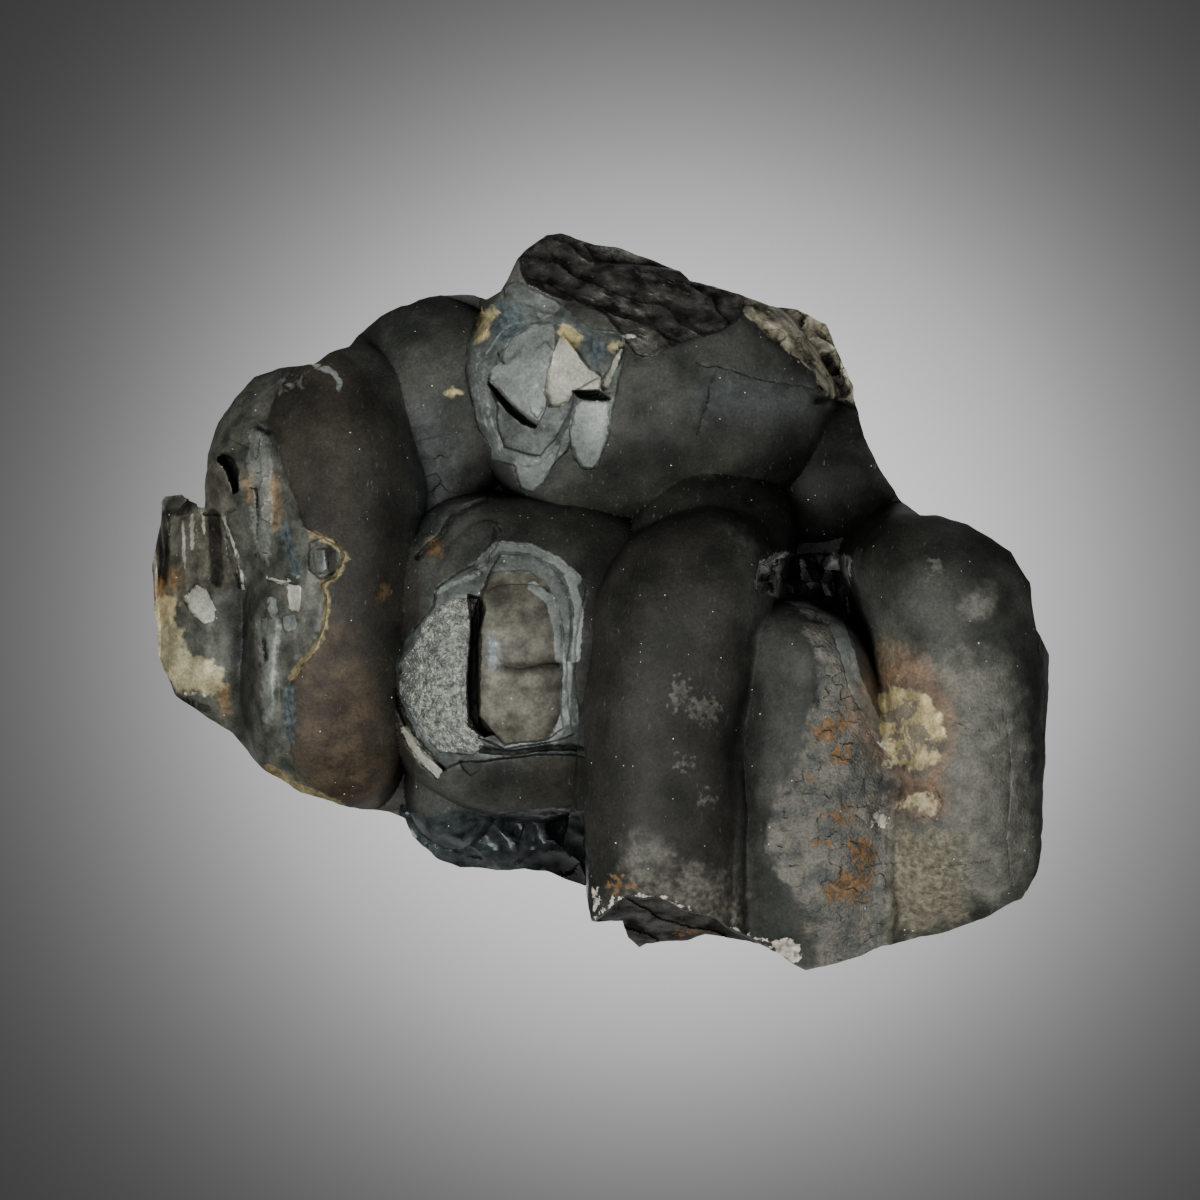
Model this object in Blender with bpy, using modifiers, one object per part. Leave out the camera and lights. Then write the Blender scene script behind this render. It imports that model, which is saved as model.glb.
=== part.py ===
"""Coronadite: a hand-sized piece broken from a crust of rounded lobes, lying on its broken back.

The face with the lobes looks up (+Z). The piece is one solid: a block of matrix with the broken rim for its
outline, ellipsoid lobes grown together on it, broken wedges along its top and foot, and scars where shells
have come away. All sizes below are millimetres; the model is in metres. The origin is under the middle of the
piece, on the surface that it rests on.
"""

import math

import bmesh
import bpy
import numpy as np
from mathutils import Matrix

MM = 0.001

# The broken rim seen from above, clockwise from the knob at the far left.
RIM = [
    (-44.0, 9.9), (-43.7, 10.4), (-41.9, 10.5), (-41.2, 8.7), (-39.6, 8.8), (-39.5, 10.7), (-39.2, 14.7),
    (-38.2, 17.7), (-36.5, 19.9), (-34.5, 22.2), (-32.0, 23.3), (-28.5, 23.6), (-27.0, 24.7), (-25.0, 25.4),
    (-24.0, 26.7), (-22.2, 28.4), (-20.0, 29.4), (-18.0, 30.2), (-16.0, 30.6), (-12.5, 30.6), (-11.5, 30.1),
    (-10.0, 31.0), (-8.0, 34.4), (-6.5, 35.7), (-5.5, 36.6), (-4.0, 36.7), (-0.5, 35.6), (1.5, 35.4),
    (6.0, 33.7), (8.0, 33.0), (9.0, 32.0), (14.0, 30.8), (17.0, 29.5), (20.0, 29.1), (22.8, 27.7),
    (23.6, 25.7), (25.4, 21.4), (25.4, 20.2), (26.5, 16.2), (27.7, 14.0), (30.2, 9.9), (31.7, 8.4),
    (33.5, 8.4), (37.0, 7.2), (39.0, 6.2), (41.0, 4.7), (42.8, 1.7), (43.4, -3.0), (44.8, -5.5),
    (44.8, -8.8), (44.5, -15.8), (44.0, -24.8), (43.3, -27.3), (42.0, -29.8), (38.0, -31.6), (34.0, -33.2),
    (28.0, -34.6), (26.0, -35.6), (20.5, -36.8), (19.0, -36.3), (16.5, -34.6), (14.5, -33.9), (10.5, -33.6),
    (8.5, -34.3), (4.5, -34.4), (3.8, -34.8), (2.8, -33.8), (2.4, -32.1), (-0.7, -32.2), (-1.6, -28.6),
    (-5.5, -27.4), (-8.0, -27.1), (-14.0, -27.0), (-16.5, -26.0), (-18.8, -23.8), (-19.5, -21.8),
    (-21.5, -21.0), (-26.0, -20.6), (-30.0, -19.3), (-33.5, -17.0), (-36.8, -13.3), (-42.0, -10.1),
    (-42.8, -9.5), (-44.2, -5.8), (-44.7, 0.2), (-44.8, 3.2), (-44.2, 7.7),
]

# Heights of the matrix block and how far its outline draws in there: undercut below, full at mid height.
BLOCK_LEVELS = [(-1.0, 0.80), (2.0, 0.87), (6.0, 0.94), (11.0, 0.99), (14.0, 1.0), (17.0, 0.985)]

# Each lobe: its middle, its reach sideways and along, its widest level, its crest, how far it runs on towards
# -Y, its turn in degrees and how square its outline is (2 is an ellipse). Over the `over` millimetres next to
# its +Y end it leans sideways by `lean` and is wider by the share `widen`; at the foot it droops by `droop`.
LOBES = {
    "upper": dict(at=(4.4, 20.2), reach=(18.4, 13.0), foot=21, crest=32.5, turn=-9, square=2.2),
    "left": dict(at=(-26.6, 2.2), reach=(9.0, 23.3), foot=22, crest=32.5, turn=-2, square=2.8),
    "left upper": dict(at=(-31.2, 12.0), reach=(8.4, 11.8), foot=19, crest=29),
    "left lower": dict(at=(-36.4, -1.2), reach=(8.4, 14.4), foot=15, crest=24, square=2.4),
    "behind": dict(at=(-16.4, 19.8), reach=(9.6, 11.0), foot=17, crest=26),
    "channel": dict(at=(-17.5, 9.0), reach=(6.0, 12.0), foot=18, crest=24),
    "eye": dict(at=(-7.4, -5.2), reach=(14.6, 15.8), foot=24, crest=33.5, square=2.8),
    "eye foot": dict(at=(-15.5, -19.0), reach=(4.5, 6.0), foot=18, crest=23),
    "column": dict(at=(6.3, -2.0), reach=(8.6, 11.5), foot=29, crest=40, run=32, square=2.1, lean=4.6,
                   widen=0.16, over=24, droop=5),
    "column back": dict(at=(10.8, 6.4), reach=(8.4, 7.8), foot=25, crest=32.5),
    "ridge": dict(at=(21.6, -6.0), reach=(7.8, 5.4), foot=28, crest=36.5, run=32, square=2.2, lean=-3.4,
                  widen=-0.28, over=17, droop=6),
    "right": dict(at=(36.2, -1.6), reach=(8.3, 10.0), foot=27, crest=37.5, run=30, square=2.2, lean=-3.0,
                  widen=0.26, over=24, droop=10),
    "saddle": dict(at=(22.0, 11.6), reach=(9.0, 6.5), foot=17, crest=23.5, turn=12),
}
LOBE_SEGMENTS = 40
LOBE_RINGS = 24
RUN_CUTS = 9
# Under its widest level a lobe goes down to its root as a skirt, the steeper the higher this power.
LOBE_ROOT = 9.0
SKIRT = 4
# The droop sets in at this Y and is complete this much further on.
DROOP_FROM = -19.0
DROOP_OVER = 16.0

# Where the lobes on the left run into each other without a crease.
SOFT_LEFT_OF = -21.0
SOFT_ABOVE = 16.0
SOFT_PASSES = 14

# The two broken faces along the top: their lower edge on the upper lobe, closed outside the rim.
TOP_LINE = [
    (-10.0, 38.0), (-8.2, 34.2), (-7.4, 31.6), (-4.0, 30.2), (0.0, 28.6), (2.5, 26.4), (3.6, 23.6), (5.0, 23.8),
    (7.0, 25.2), (9.5, 26.2), (12.0, 26.9), (14.0, 28.4), (15.5, 30.5), (16.5, 33.0), (16.0, 38.0),
]
TOP_FACE = dict(at=(0.0, 26.0), height=32.0, fall=(0.22, 1.45))
CORNER_LINE = [
    (14.2, 29.0), (15.8, 27.2), (19.0, 24.7), (21.5, 22.7), (21.7, 20.9), (25.2, 19.8), (30.0, 20.0),
    (26.0, 30.0), (15.0, 34.0),
]
CORNER_FACE = dict(at=(14.0, 28.0), height=27.2, fall=(0.45, 0.30))

# Broken wedges under a sloping face: outline, height at a point, and the fall per mm along X and along Y.
WEDGES = {
    "top break": dict(
        outline=[(-9.6, 31.4), (-6.2, 35.6), (-4.0, 36.5), (1.5, 35.2), (8.4, 32.6), (15.0, 30.2), (15.5, 27.0),
                 (9.0, 26.8), (4.0, 26.4), (0.5, 27.5), (-6.0, 30.2)],
        **TOP_FACE,
    ),
    "top corner": dict(
        outline=[(13.5, 30.6), (20.0, 29.0), (22.7, 27.6), (25.3, 21.4), (25.3, 19.6), (21.5, 19.8),
                 (17.0, 23.5), (13.0, 27.0)],
        **CORNER_FACE,
    ),
    "foot break": dict(
        outline=[(-19.3, -21.2), (-1.0, -20.0), (-1.6, -28.5), (-8.0, -27.0), (-14.0, -26.9), (-18.7, -23.7)],
        at=(-10.0, -21.0), height=25.0, fall=(0.0, -1.70),
    ),
}
WEDGE_FOOT = 4.0

# Faces broken off lower than the lobes would stand, by this much at least: outline, height at a point, and the
# fall per mm.
CUT_LEAST = 0.5
CUTS = {
    "top break": dict(outline=TOP_LINE, **TOP_FACE),
    "top corner": dict(outline=CORNER_LINE, **CORNER_FACE),
    "ledge under the column": dict(
        outline=[(-2.4, -30.0), (-0.6, -31.6), (1.0, -30.5), (4.6, -29.5), (9.9, -31.4), (14.7, -33.5),
                 (16.8, -34.6), (17.0, -38.0), (-3.0, -38.0)],
        at=(6.0, -31.0), height=25.0, fall=(0.10, -1.80),
    ),
    "cavity": dict(
        outline=[(15.2, 1.0), (17.5, 5.5), (22.0, 6.5), (25.2, 3.0), (24.9, -3.6), (22.6, -4.4), (21.4, -2.2),
                 (17.2, -0.4)],
        at=(20.0, 1.0), height=24.0, fall=(0.10, 0.10),
    ),
}

# Scars where shells have come away: outline and depth below the lobe.
SCARS = {
    "eye, outer shell": dict(
        outline=[(-15.9, 0.1), (-13.1, 3.2), (-10.0, 5.7), (-7.2, 5.5), (-4.8, 4.2), (-2.4, 2.5), (-1.5, 1.2),
                 (-2.4, -3.6), (-2.6, -7.3), (-1.6, -14.5), (-5.4, -15.4), (-11.3, -16.0), (-15.5, -16.9),
                 (-17.6, -14.7), (-19.2, -11.9), (-20.4, -9.1), (-20.4, -6.4), (-18.3, -2.7)],
        depth=1.3,
    ),
    "eye, floor": dict(
        outline=[(-11.9, 0.5), (-10.6, 2.3), (-7.6, 1.2), (-5.6, 0.2), (-4.4, -2.5), (-4.0, -6.5), (-4.0, -11.5),
                 (-5.4, -13.2), (-9.0, -14.2), (-11.9, -12.0), (-12.2, -6.0)],
        depth=1.8,
    ),
    "eye, slot": dict(
        outline=[(-13.1, 0.6), (-11.9, 0.4), (-11.8, -12.2), (-12.9, -13.0), (-13.1, -5.0)],
        depth=3.0,
    ),
    "upper scar, terrace": dict(
        outline=[(-9.5, 30.3), (-4.5, 29.9), (-0.7, 26.7), (2.6, 25.3), (1.6, 20.7), (0.9, 16.4), (-0.4, 13.1),
                 (-1.8, 13.1), (-3.0, 15.7), (-4.6, 13.9), (-6.8, 10.8), (-7.9, 11.1), (-8.5, 13.5),
                 (-10.9, 15.1), (-12.9, 20.7), (-13.4, 22.9), (-13.0, 26.0), (-11.6, 29.0)],
        depth=1.2,
    ),
    "upper scar, hollow": dict(
        outline=[(-11.1, 21.6), (-8.8, 26.2), (-6.5, 27.5), (-3.7, 26.7), (0.1, 22.2), (0.1, 21.0), (-3.0, 20.3),
                 (-6.3, 17.4), (-9.0, 19.7)],
        depth=2.0,
    ),
    "left hole": dict(
        outline=[(-38.3, 13.6), (-37.2, 14.8), (-36.3, 13.0), (-36.4, 10.8), (-37.5, 10.6)],
        depth=5.0,
    ),
}
SCAR_EDGE = 0.5

# The broken fibres at the far left: flutes side by side, this far apart.
FLUTES = [(-44.6, 9.2), (-37.6, 9.2), (-38.4, 0.0), (-39.5, -6.0), (-44.0, -6.0)]
FLUTE_PITCH = 1.7
FLUTE_DEPTH = 0.8

# Broken faces and scars are only where the surface looks up and is above the foot of the block.
LOOKS_UP_FROM = -0.1
LOOKS_UP_FULLY = 0.3
CARVED_ABOVE = 12.0

# The broken walls round the rim: hollowed by up to this much, in flat-lying plates, and less above the block.
# A wall is where the surface's upward part is under WALL_SLOPE.
WALL_SLOPE = 0.6
WALL_HOLLOW = 2.2
HOLLOW_MEAN = 0.4
HOLLOW_SPREAD = 0.3
WALL_REACH = 3.6
WALL_PLATES = 2.5
WALL_TOP = 20.0
WALL_FADE = 9.0
WALL_EDGE = 2.0
UPPER_WALL = 0.35

# The prism that trims the lobes to the rim reaches well past the block's foot and the highest lobe.
TRIM_FROM = -5.0
TRIM_TO = 60.0
VOXEL = 0.6
SWELL_REACH = 5.0
SWELL = 0.28
CHIP_REACH = 1.9
CHIP = 0.9
TRIANGLES = 9500
SHARP_EDGE = math.radians(40)
ROCK_COLOUR = (0.040, 0.042, 0.036, 1.0)
ROCK_ROUGHNESS = 0.42
ROCK_METALLIC = 0.35


def clear_scene():
    for old in list(bpy.data.objects):
        bpy.data.objects.remove(old, do_unlink=True)


def collection(name):
    made = bpy.data.collections.new(name)
    bpy.context.scene.collection.children.link(made)
    return made


def add_block(form):
    """The matrix: the rim's outline as one face, extruded level by level and drawn in at each."""
    low, first = BLOCK_LEVELS[0]
    rim = [form.verts.new((x * first, y * first, low)) for x, y in RIM]
    face = form.faces.new(rim)
    drawn = first
    for level, scale in BLOCK_LEVELS[1:]:
        made = bmesh.ops.extrude_face_region(form, geom=[face])["geom"]
        face = next(one for one in made if isinstance(one, bmesh.types.BMFace))
        for corner in face.verts:
            corner.co.x *= scale / drawn
            corner.co.y *= scale / drawn
            corner.co.z = level
        drawn = scale


def add_lobe(form, at, reach, foot, crest, run=0, turn=0, square=2.0, lean=0, widen=0, over=1, droop=0):
    """An ellipsoid above its widest level and a steep skirt below it, with a superellipse outline. The -Y half
    is moved on by `run`, which makes it a thumb, and the thumb is then bent."""
    ball = bmesh.new()
    bmesh.ops.create_uvsphere(ball, u_segments=LOBE_SEGMENTS, v_segments=LOBE_RINGS, radius=1.0)
    for corner in ball.verts:
        angle = math.atan2(corner.co.y, corner.co.x)
        bulge = (abs(math.cos(angle)) ** square + abs(math.sin(angle)) ** square) ** (-1 / square)
        if corner.co.z < 0:
            drawn_in = math.sqrt(max(1 - corner.co.z**2, 1e-9))
            bulge *= (1 - min(abs(corner.co.z), 1) ** SKIRT) ** (1 / SKIRT) / drawn_in
        corner.co.x *= bulge * reach[0]
        corner.co.y *= bulge * reach[1]
        corner.co.z *= crest - foot if corner.co.z > 0 else foot - LOBE_ROOT
        if run and corner.co.y < -1e-4:
            corner.co.y -= run
    if run:
        lengthwise = [edge for edge in ball.edges if abs(edge.verts[0].co.y - edge.verts[1].co.y) > run]
        bmesh.ops.subdivide_edges(ball, edges=lengthwise, cuts=RUN_CUTS, use_grid_fill=True)
    placed = Matrix.Translation((*at, foot)) @ Matrix.Rotation(math.radians(turn), 4, "Z")
    for corner in ball.verts:
        near_end = 1 - min(max((reach[1] - corner.co.y) / over, 0), 1)
        corner.co.x = corner.co.x * (1 + widen * near_end**2) + lean * near_end**2
        corner.co = placed @ corner.co
        if corner.co.z > foot:
            corner.co.z -= droop * min(max((DROOP_FROM - corner.co.y) / DROOP_OVER, 0), 1) ** 2
    lobe = bpy.data.meshes.new("lobe")
    ball.to_mesh(lobe)
    ball.free()
    form.from_mesh(lobe)
    bpy.data.meshes.remove(lobe)


def plane_height(x, y, at, height, fall):
    return height - fall[0] * (x - at[0]) - fall[1] * (y - at[1])


def add_wedge(form, outline, at, height, fall):
    """An upright prism over the outline with a sloping top."""
    face = form.faces.new([form.verts.new((x, y, WEDGE_FOOT)) for x, y in outline])
    made = bmesh.ops.extrude_face_region(form, geom=[face])["geom"]
    for corner in (one for one in made if isinstance(one, bmesh.types.BMVert)):
        corner.co.z = plane_height(corner.co.x, corner.co.y, at, height, fall)


def mesh_object(name, form, where):
    bmesh.ops.recalc_face_normals(form, faces=form.faces)
    bmesh.ops.scale(form, vec=(MM, MM, MM), verts=form.verts)
    mesh = bpy.data.meshes.new(name)
    form.to_mesh(mesh)
    form.free()
    made = bpy.data.objects.new(name, mesh)
    where.objects.link(made)
    return made


def apply_modifiers(thing):
    """The object's mesh becomes what its modifiers make of it."""
    bpy.context.view_layer.update()
    graph = bpy.context.evaluated_depsgraph_get()
    mesh = bpy.data.meshes.new_from_object(thing.evaluated_get(graph), depsgraph=graph)
    thing.modifiers.clear()
    thing.data = mesh


def rim_cutter(where):
    """An upright prism of the rim's outline: nothing of the lobes stands out past it."""
    form = bmesh.new()
    face = form.faces.new([form.verts.new((x, y, TRIM_FROM)) for x, y in RIM])
    made = bmesh.ops.extrude_face_region(form, geom=[face])["geom"]
    for corner in (one for one in made if isinstance(one, bmesh.types.BMVert)):
        corner.co.z = TRIM_TO
    cutter = mesh_object("rim cutter", form, where)
    cutter.display_type = "WIRE"
    cutter.hide_render = True
    return cutter


def inside_distance(x, y, outline):
    """Distance from each point to a closed outline, positive inside it."""
    points = np.array(outline, float)
    nearest = np.full(x.shape, 1e9)
    inside = np.zeros(x.shape, bool)
    for (x0, y0), (x1, y1) in zip(points, np.roll(points, -1, axis=0)):
        dx, dy = x1 - x0, y1 - y0
        along = np.clip(((x - x0) * dx + (y - y0) * dy) / (dx * dx + dy * dy), 0, 1)
        nearest = np.minimum(nearest, np.hypot(x - x0 - along * dx, y - y0 - along * dy))
        if dy:
            inside ^= ((y0 > y) != (y1 > y)) & (x < x0 + (y - y0) * dx / dy)
    return np.where(inside, nearest, -nearest)


def mottle(x, y, z, size, seed):
    """Smooth noise between -1 and 1: random values on a cubic lattice of this size, blended between corners."""
    table = np.random.default_rng(seed).uniform(-1, 1, (64, 64, 64))
    place = np.stack([x, y, z]) / size
    corner = np.floor(place).astype(int)
    part = place - corner
    part = part * part * (3 - 2 * part)
    total = 0
    for i in (0, 1):
        for j in (0, 1):
            for k in (0, 1):
                weight = 1
                for axis, step in enumerate((i, j, k)):
                    weight = weight * (part[axis] if step else 1 - part[axis])
                total = total + weight * table[tuple((corner + np.array([[i], [j], [k]])) & 63)]
    return total


def read_mesh(mesh):
    points = np.empty(len(mesh.vertices) * 3, np.float32)
    normals = np.empty_like(points)
    mesh.vertices.foreach_get("co", points)
    mesh.vertex_normals.foreach_get("vector", normals)
    return points.reshape(-1, 3).T.astype(float) / MM, normals.reshape(-1, 3).T.astype(float)


def hollow_walls(x, y, z, nx, ny, nz):
    """The steep faces along the rim move in, by more or less from place to place."""
    by_rim = UPPER_WALL * np.clip(WALL_EDGE - inside_distance(x, y, RIM), 0, 1)
    low_down = np.clip((WALL_TOP - z) / WALL_FADE, 0, 1)
    wall = np.clip(2 * (WALL_SLOPE - np.abs(nz)), 0, 1) * np.maximum(low_down, by_rim)
    plates = mottle(x / WALL_PLATES, y / WALL_PLATES, z, WALL_REACH, 3)
    depth = WALL_HOLLOW * wall * (HOLLOW_MEAN + HOLLOW_SPREAD * (plates + mottle(x, y, z, WALL_REACH, 4)))
    return x - depth * nx, y - depth * ny


def carve(mesh):
    """Moves the fused body's points: a slow swell all over, hollows in the walls, the broken faces lowered and
    chipped, the scars sunk. Only points that look up are lowered."""
    (x, y, z), (nx, ny, nz) = read_mesh(mesh)
    x, y = hollow_walls(x, y, z, nx, ny, nz)
    z = z + SWELL * nz * mottle(x, y, z, SWELL_REACH, 1)
    looks_up = np.clip((nz - LOOKS_UP_FROM) / (LOOKS_UP_FULLY - LOOKS_UP_FROM), 0, 1) * (z > CARVED_ABOVE)
    chips = CHIP * mottle(x, y, z, CHIP_REACH, 2)
    for cut in CUTS.values():
        inner = np.clip(inside_distance(x, y, cut["outline"]) / SCAR_EDGE, 0, 1) * looks_up
        plane = plane_height(x, y, cut["at"], cut["height"], cut["fall"])
        z = z + (np.minimum(plane, z - CUT_LEAST) + chips - z) * inner
    for scar in SCARS.values():
        inner = np.clip(inside_distance(x, y, scar["outline"]) / SCAR_EDGE + 0.5, 0, 1) * looks_up
        z = z - scar["depth"] * inner
    fluted = np.clip(inside_distance(x, y, FLUTES), 0, 1) * looks_up
    z = z - FLUTE_DEPTH * fluted * np.abs(np.cos(math.pi * x / FLUTE_PITCH))
    points = (np.stack([x, y, z]).T * MM).astype(np.float32)
    mesh.vertices.foreach_set("co", points.ravel())
    mesh.update()


def soften(thing):
    """The lobes on the left flow into each other: their creases are smoothed away."""
    form = bmesh.new()
    form.from_mesh(thing.data)
    left = [one for one in form.verts if one.co.x < SOFT_LEFT_OF * MM and one.co.z > SOFT_ABOVE * MM]
    for _ in range(SOFT_PASSES):
        bmesh.ops.smooth_vert(form, verts=left, factor=0.5, use_axis_x=True, use_axis_y=True, use_axis_z=True)
    form.to_mesh(thing.data)
    form.free()


def fuse(thing):
    """One closed skin over everything that overlaps, in even facets."""
    skin = thing.modifiers.new("fuse", "REMESH")
    skin.mode = "VOXEL"
    skin.voxel_size = VOXEL * MM
    apply_modifiers(thing)


def trim_to_rim(thing, where):
    trim = thing.modifiers.new("trim to the rim", "BOOLEAN")
    trim.operation = "INTERSECT"
    trim.object = rim_cutter(where)
    apply_modifiers(thing)


def thin_out(thing):
    """Fewer, larger triangles where the surface is plain."""
    thing.data.calc_loop_triangles()
    fewer = thing.modifiers.new("thin out", "DECIMATE")
    fewer.ratio = TRIANGLES / len(thing.data.loop_triangles)
    fewer.use_collapse_triangulate = True
    apply_modifiers(thing)


def cut_flat(thing):
    """The broken back is cut off flat at the surface that the piece rests on, and the piece is centred."""
    form = bmesh.new()
    form.from_mesh(thing.data)
    everything = form.verts[:] + form.edges[:] + form.faces[:]
    cut = bmesh.ops.bisect_plane(
        form, geom=everything, dist=1e-7, plane_co=(0, 0, 0), plane_no=(0, 0, -1), clear_outer=True
    )
    edges = [one for one in cut["geom_cut"] if isinstance(one, bmesh.types.BMEdge)]
    bmesh.ops.triangle_fill(form, edges=edges, use_beauty=True)
    lows = [min(corner.co[axis] for corner in form.verts) for axis in (0, 1)]
    highs = [max(corner.co[axis] for corner in form.verts) for axis in (0, 1)]
    middle = [(low + high) / 2 for low, high in zip(lows, highs)]
    bmesh.ops.translate(form, vec=(-middle[0], -middle[1], 0), verts=form.verts)
    bmesh.ops.recalc_face_normals(form, faces=form.faces)
    form.to_mesh(thing.data)
    form.free()


def rock_material():
    made = bpy.data.materials.new("coronadite")
    made.use_nodes = True
    surface = made.node_tree.nodes["Principled BSDF"]
    surface.inputs["Base Color"].default_value = ROCK_COLOUR
    surface.inputs["Roughness"].default_value = ROCK_ROUGHNESS
    surface.inputs["Metallic"].default_value = ROCK_METALLIC
    return made


def make_specimen():
    parts = collection("coronadite specimen")
    cutters = collection("cutters")
    form = bmesh.new()
    add_block(form)
    for lobe in LOBES.values():
        add_lobe(form, **lobe)
    for wedge in WEDGES.values():
        add_wedge(form, **wedge)
    piece = mesh_object("coronadite", form, parts)
    fuse(piece)
    trim_to_rim(piece, cutters)
    fuse(piece)
    soften(piece)
    carve(piece.data)
    thin_out(piece)
    cut_flat(piece)
    piece.data.materials.clear()
    piece.data.materials.append(rock_material())
    piece.data.shade_smooth()
    piece.data.set_sharp_from_angle(angle=SHARP_EDGE)


clear_scene()
make_specimen()
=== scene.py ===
"""The looks of a coronadite specimen: a piece broken from a crust of rounded lobes, lying on its broken back.

Laid out as a Blender add-on: sizes and colours are settings, one operator makes the specimen's surface and
finish, and one makes the stage. Shapes are given in millimetres and turned into metres when a mesh is made.
"""

import itertools
import math

import bpy
import numpy as np
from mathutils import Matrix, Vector


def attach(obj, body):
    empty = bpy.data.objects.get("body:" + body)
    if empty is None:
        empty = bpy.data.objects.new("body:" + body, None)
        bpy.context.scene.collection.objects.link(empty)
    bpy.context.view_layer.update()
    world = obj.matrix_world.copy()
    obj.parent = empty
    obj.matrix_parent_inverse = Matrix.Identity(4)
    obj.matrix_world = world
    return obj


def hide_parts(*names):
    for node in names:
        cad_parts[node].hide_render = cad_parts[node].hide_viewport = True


bl_info = {
    "name": "Coronadite specimen",
    "version": (1, 0, 0),
    "blender": (4, 5, 0),
    "location": "3D View > Sidebar > Specimen",
    "description": "Makes the surface and the finish of a botryoidal coronadite specimen",
    "category": "Add Mesh",
}

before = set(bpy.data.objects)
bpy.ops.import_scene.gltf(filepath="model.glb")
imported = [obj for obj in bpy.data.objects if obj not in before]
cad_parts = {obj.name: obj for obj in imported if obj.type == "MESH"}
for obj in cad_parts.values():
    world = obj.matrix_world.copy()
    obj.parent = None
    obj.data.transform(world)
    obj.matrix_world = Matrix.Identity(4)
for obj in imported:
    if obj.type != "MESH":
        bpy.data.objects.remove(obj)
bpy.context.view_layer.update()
MM = 0.001

# How much of a tone's own value a surface needs in the stage's light to show as that tone.
TONE_SHARE = 0.80

# After how many cells the noise and the crystal faces repeat.
NOISE_TABLE = 256
CELL_TABLE = 128

# The broken rim seen from above, clockwise from the knob at the far left, and how far its line wavers.
RIM = [
    (-44, 9.9), (-43.7, 10.4), (-41.9, 10.5), (-41.4, 9), (-39.7, 8.8), (-39.5, 10.7), (-39.2, 14.7),
    (-38.2, 17.7), (-36.5, 19.9), (-34.5, 22.2), (-32, 23.3), (-28.5, 23.6), (-27, 24.7), (-25, 25.4),
    (-24, 26.7), (-22.2, 28.4), (-20, 29.4), (-18, 30.2), (-16, 30.6), (-12.5, 30.6), (-11.5, 30.1),
    (-10, 31), (-8, 34.4), (-6.5, 35.7), (-5.5, 36.6), (-4, 36.7), (-0.5, 35.6), (1.5, 35.4), (6, 33.7),
    (8, 33), (9, 32), (14, 30.8), (17, 29.5), (20, 29.1), (22.8, 27.7), (23.6, 25.7), (25.4, 21.4),
    (25.4, 20.2), (26.5, 16.2), (27.7, 14), (30.2, 9.9), (31.7, 8.4), (33.5, 8.4), (37, 7.2), (39, 6.2),
    (41, 4.7), (42.8, 1.7), (43.4, -3), (44.8, -5.5), (44.8, -8.8), (44.5, -15.8), (44, -24.8), (43.3, -27.3),
    (42, -29.8), (38, -31.6), (34, -33.2), (28, -34.6), (26, -35.6), (20.5, -36.8), (19, -36.3),
    (16.5, -34.6), (14.5, -33.9), (10.5, -33.6), (8.5, -34.3), (4.5, -34.4), (3.8, -34.8), (2.8, -33.8),
    (2.4, -32.1), (-0.7, -32.2), (-1.6, -28.6), (-5.5, -27.4), (-8, -27.1), (-14, -27), (-16.5, -26),
    (-18.8, -23.8), (-19.5, -21.8), (-21.5, -21), (-26, -20.6), (-30, -19.3), (-33.5, -17), (-36.8, -13.3),
    (-42, -10.1), (-42.8, -9.5), (-44.2, -5.8), (-44.7, 0.2), (-44.8, 3.2), (-44.2, 7.7),
]
RIM_WAVER = 0.35

# The walls under the rim: heights and how far the outline draws in there, how deep they are hollowed in the
# mean, and over how many of the rim's points to either side its direction is taken.
WALL_LEVELS = [0, 2, 6, 11, 14, 60]
WALL_DRAWN_IN = [0.835, 0.87, 0.94, 0.99, 1, 1]
WALL_HOLLOW = 1.1
WALL_SPAN = 6

# Each lobe: its middle, its reach sideways and along, its widest level, its crest, how far it runs on towards
# -Y, its turn in degrees and how square its outline is (2 is an ellipse). Over the `over` millimetres next to
# its +Y end it leans sideways by `lean` and is wider by the share `widen`; at the foot it droops by `droop`.
LOBES = {
    "upper": dict(at=(4.4, 20.2), reach=(18.4, 13), foot=21, crest=32.5, turn=-9, square=2.2),
    "left": dict(at=(-26.6, 2.2), reach=(9, 23.3), foot=22, crest=32.5, turn=-2, square=2.8),
    "left upper": dict(at=(-31.2, 12), reach=(8.4, 11.8), foot=19, crest=29),
    "left lower": dict(at=(-36.4, -1.2), reach=(8.4, 14.4), foot=15, crest=24, square=2.4),
    "behind": dict(at=(-16.4, 19.8), reach=(9.6, 11), foot=17, crest=26),
    "channel": dict(at=(-17.5, 9), reach=(6, 12), foot=18, crest=24),
    "eye": dict(at=(-7.4, -5.2), reach=(14.6, 15.8), foot=24, crest=33.5, square=2.8),
    "eye foot": dict(at=(-15.5, -19), reach=(4.5, 6), foot=18, crest=23),
    "column": dict(
        at=(6.3, -2), reach=(8.6, 11.5), foot=29, crest=40, run=32, square=2.1, lean=4.6, widen=0.16, over=24,
        droop=5,
    ),
    "column back": dict(at=(10.8, 6.4), reach=(8.4, 7.8), foot=25, crest=32.5),
    "ridge": dict(
        at=(21.6, -6), reach=(7.8, 5.4), foot=28, crest=36.5, run=32, square=2.2, lean=-3.4, widen=-0.28,
        over=17, droop=6,
    ),
    "right": dict(
        at=(36.2, -1.6), reach=(8.3, 10), foot=27, crest=37.5, run=30, square=2.2, lean=-3, widen=0.26,
        over=24, droop=10,
    ),
    "saddle": dict(at=(22, 11.6), reach=(9, 6.5), foot=17, crest=23.5, turn=12),
    "peak": dict(at=(-5.5, 30), reach=(6.2, 7.2), foot=20, crest=28.5),
}
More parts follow.
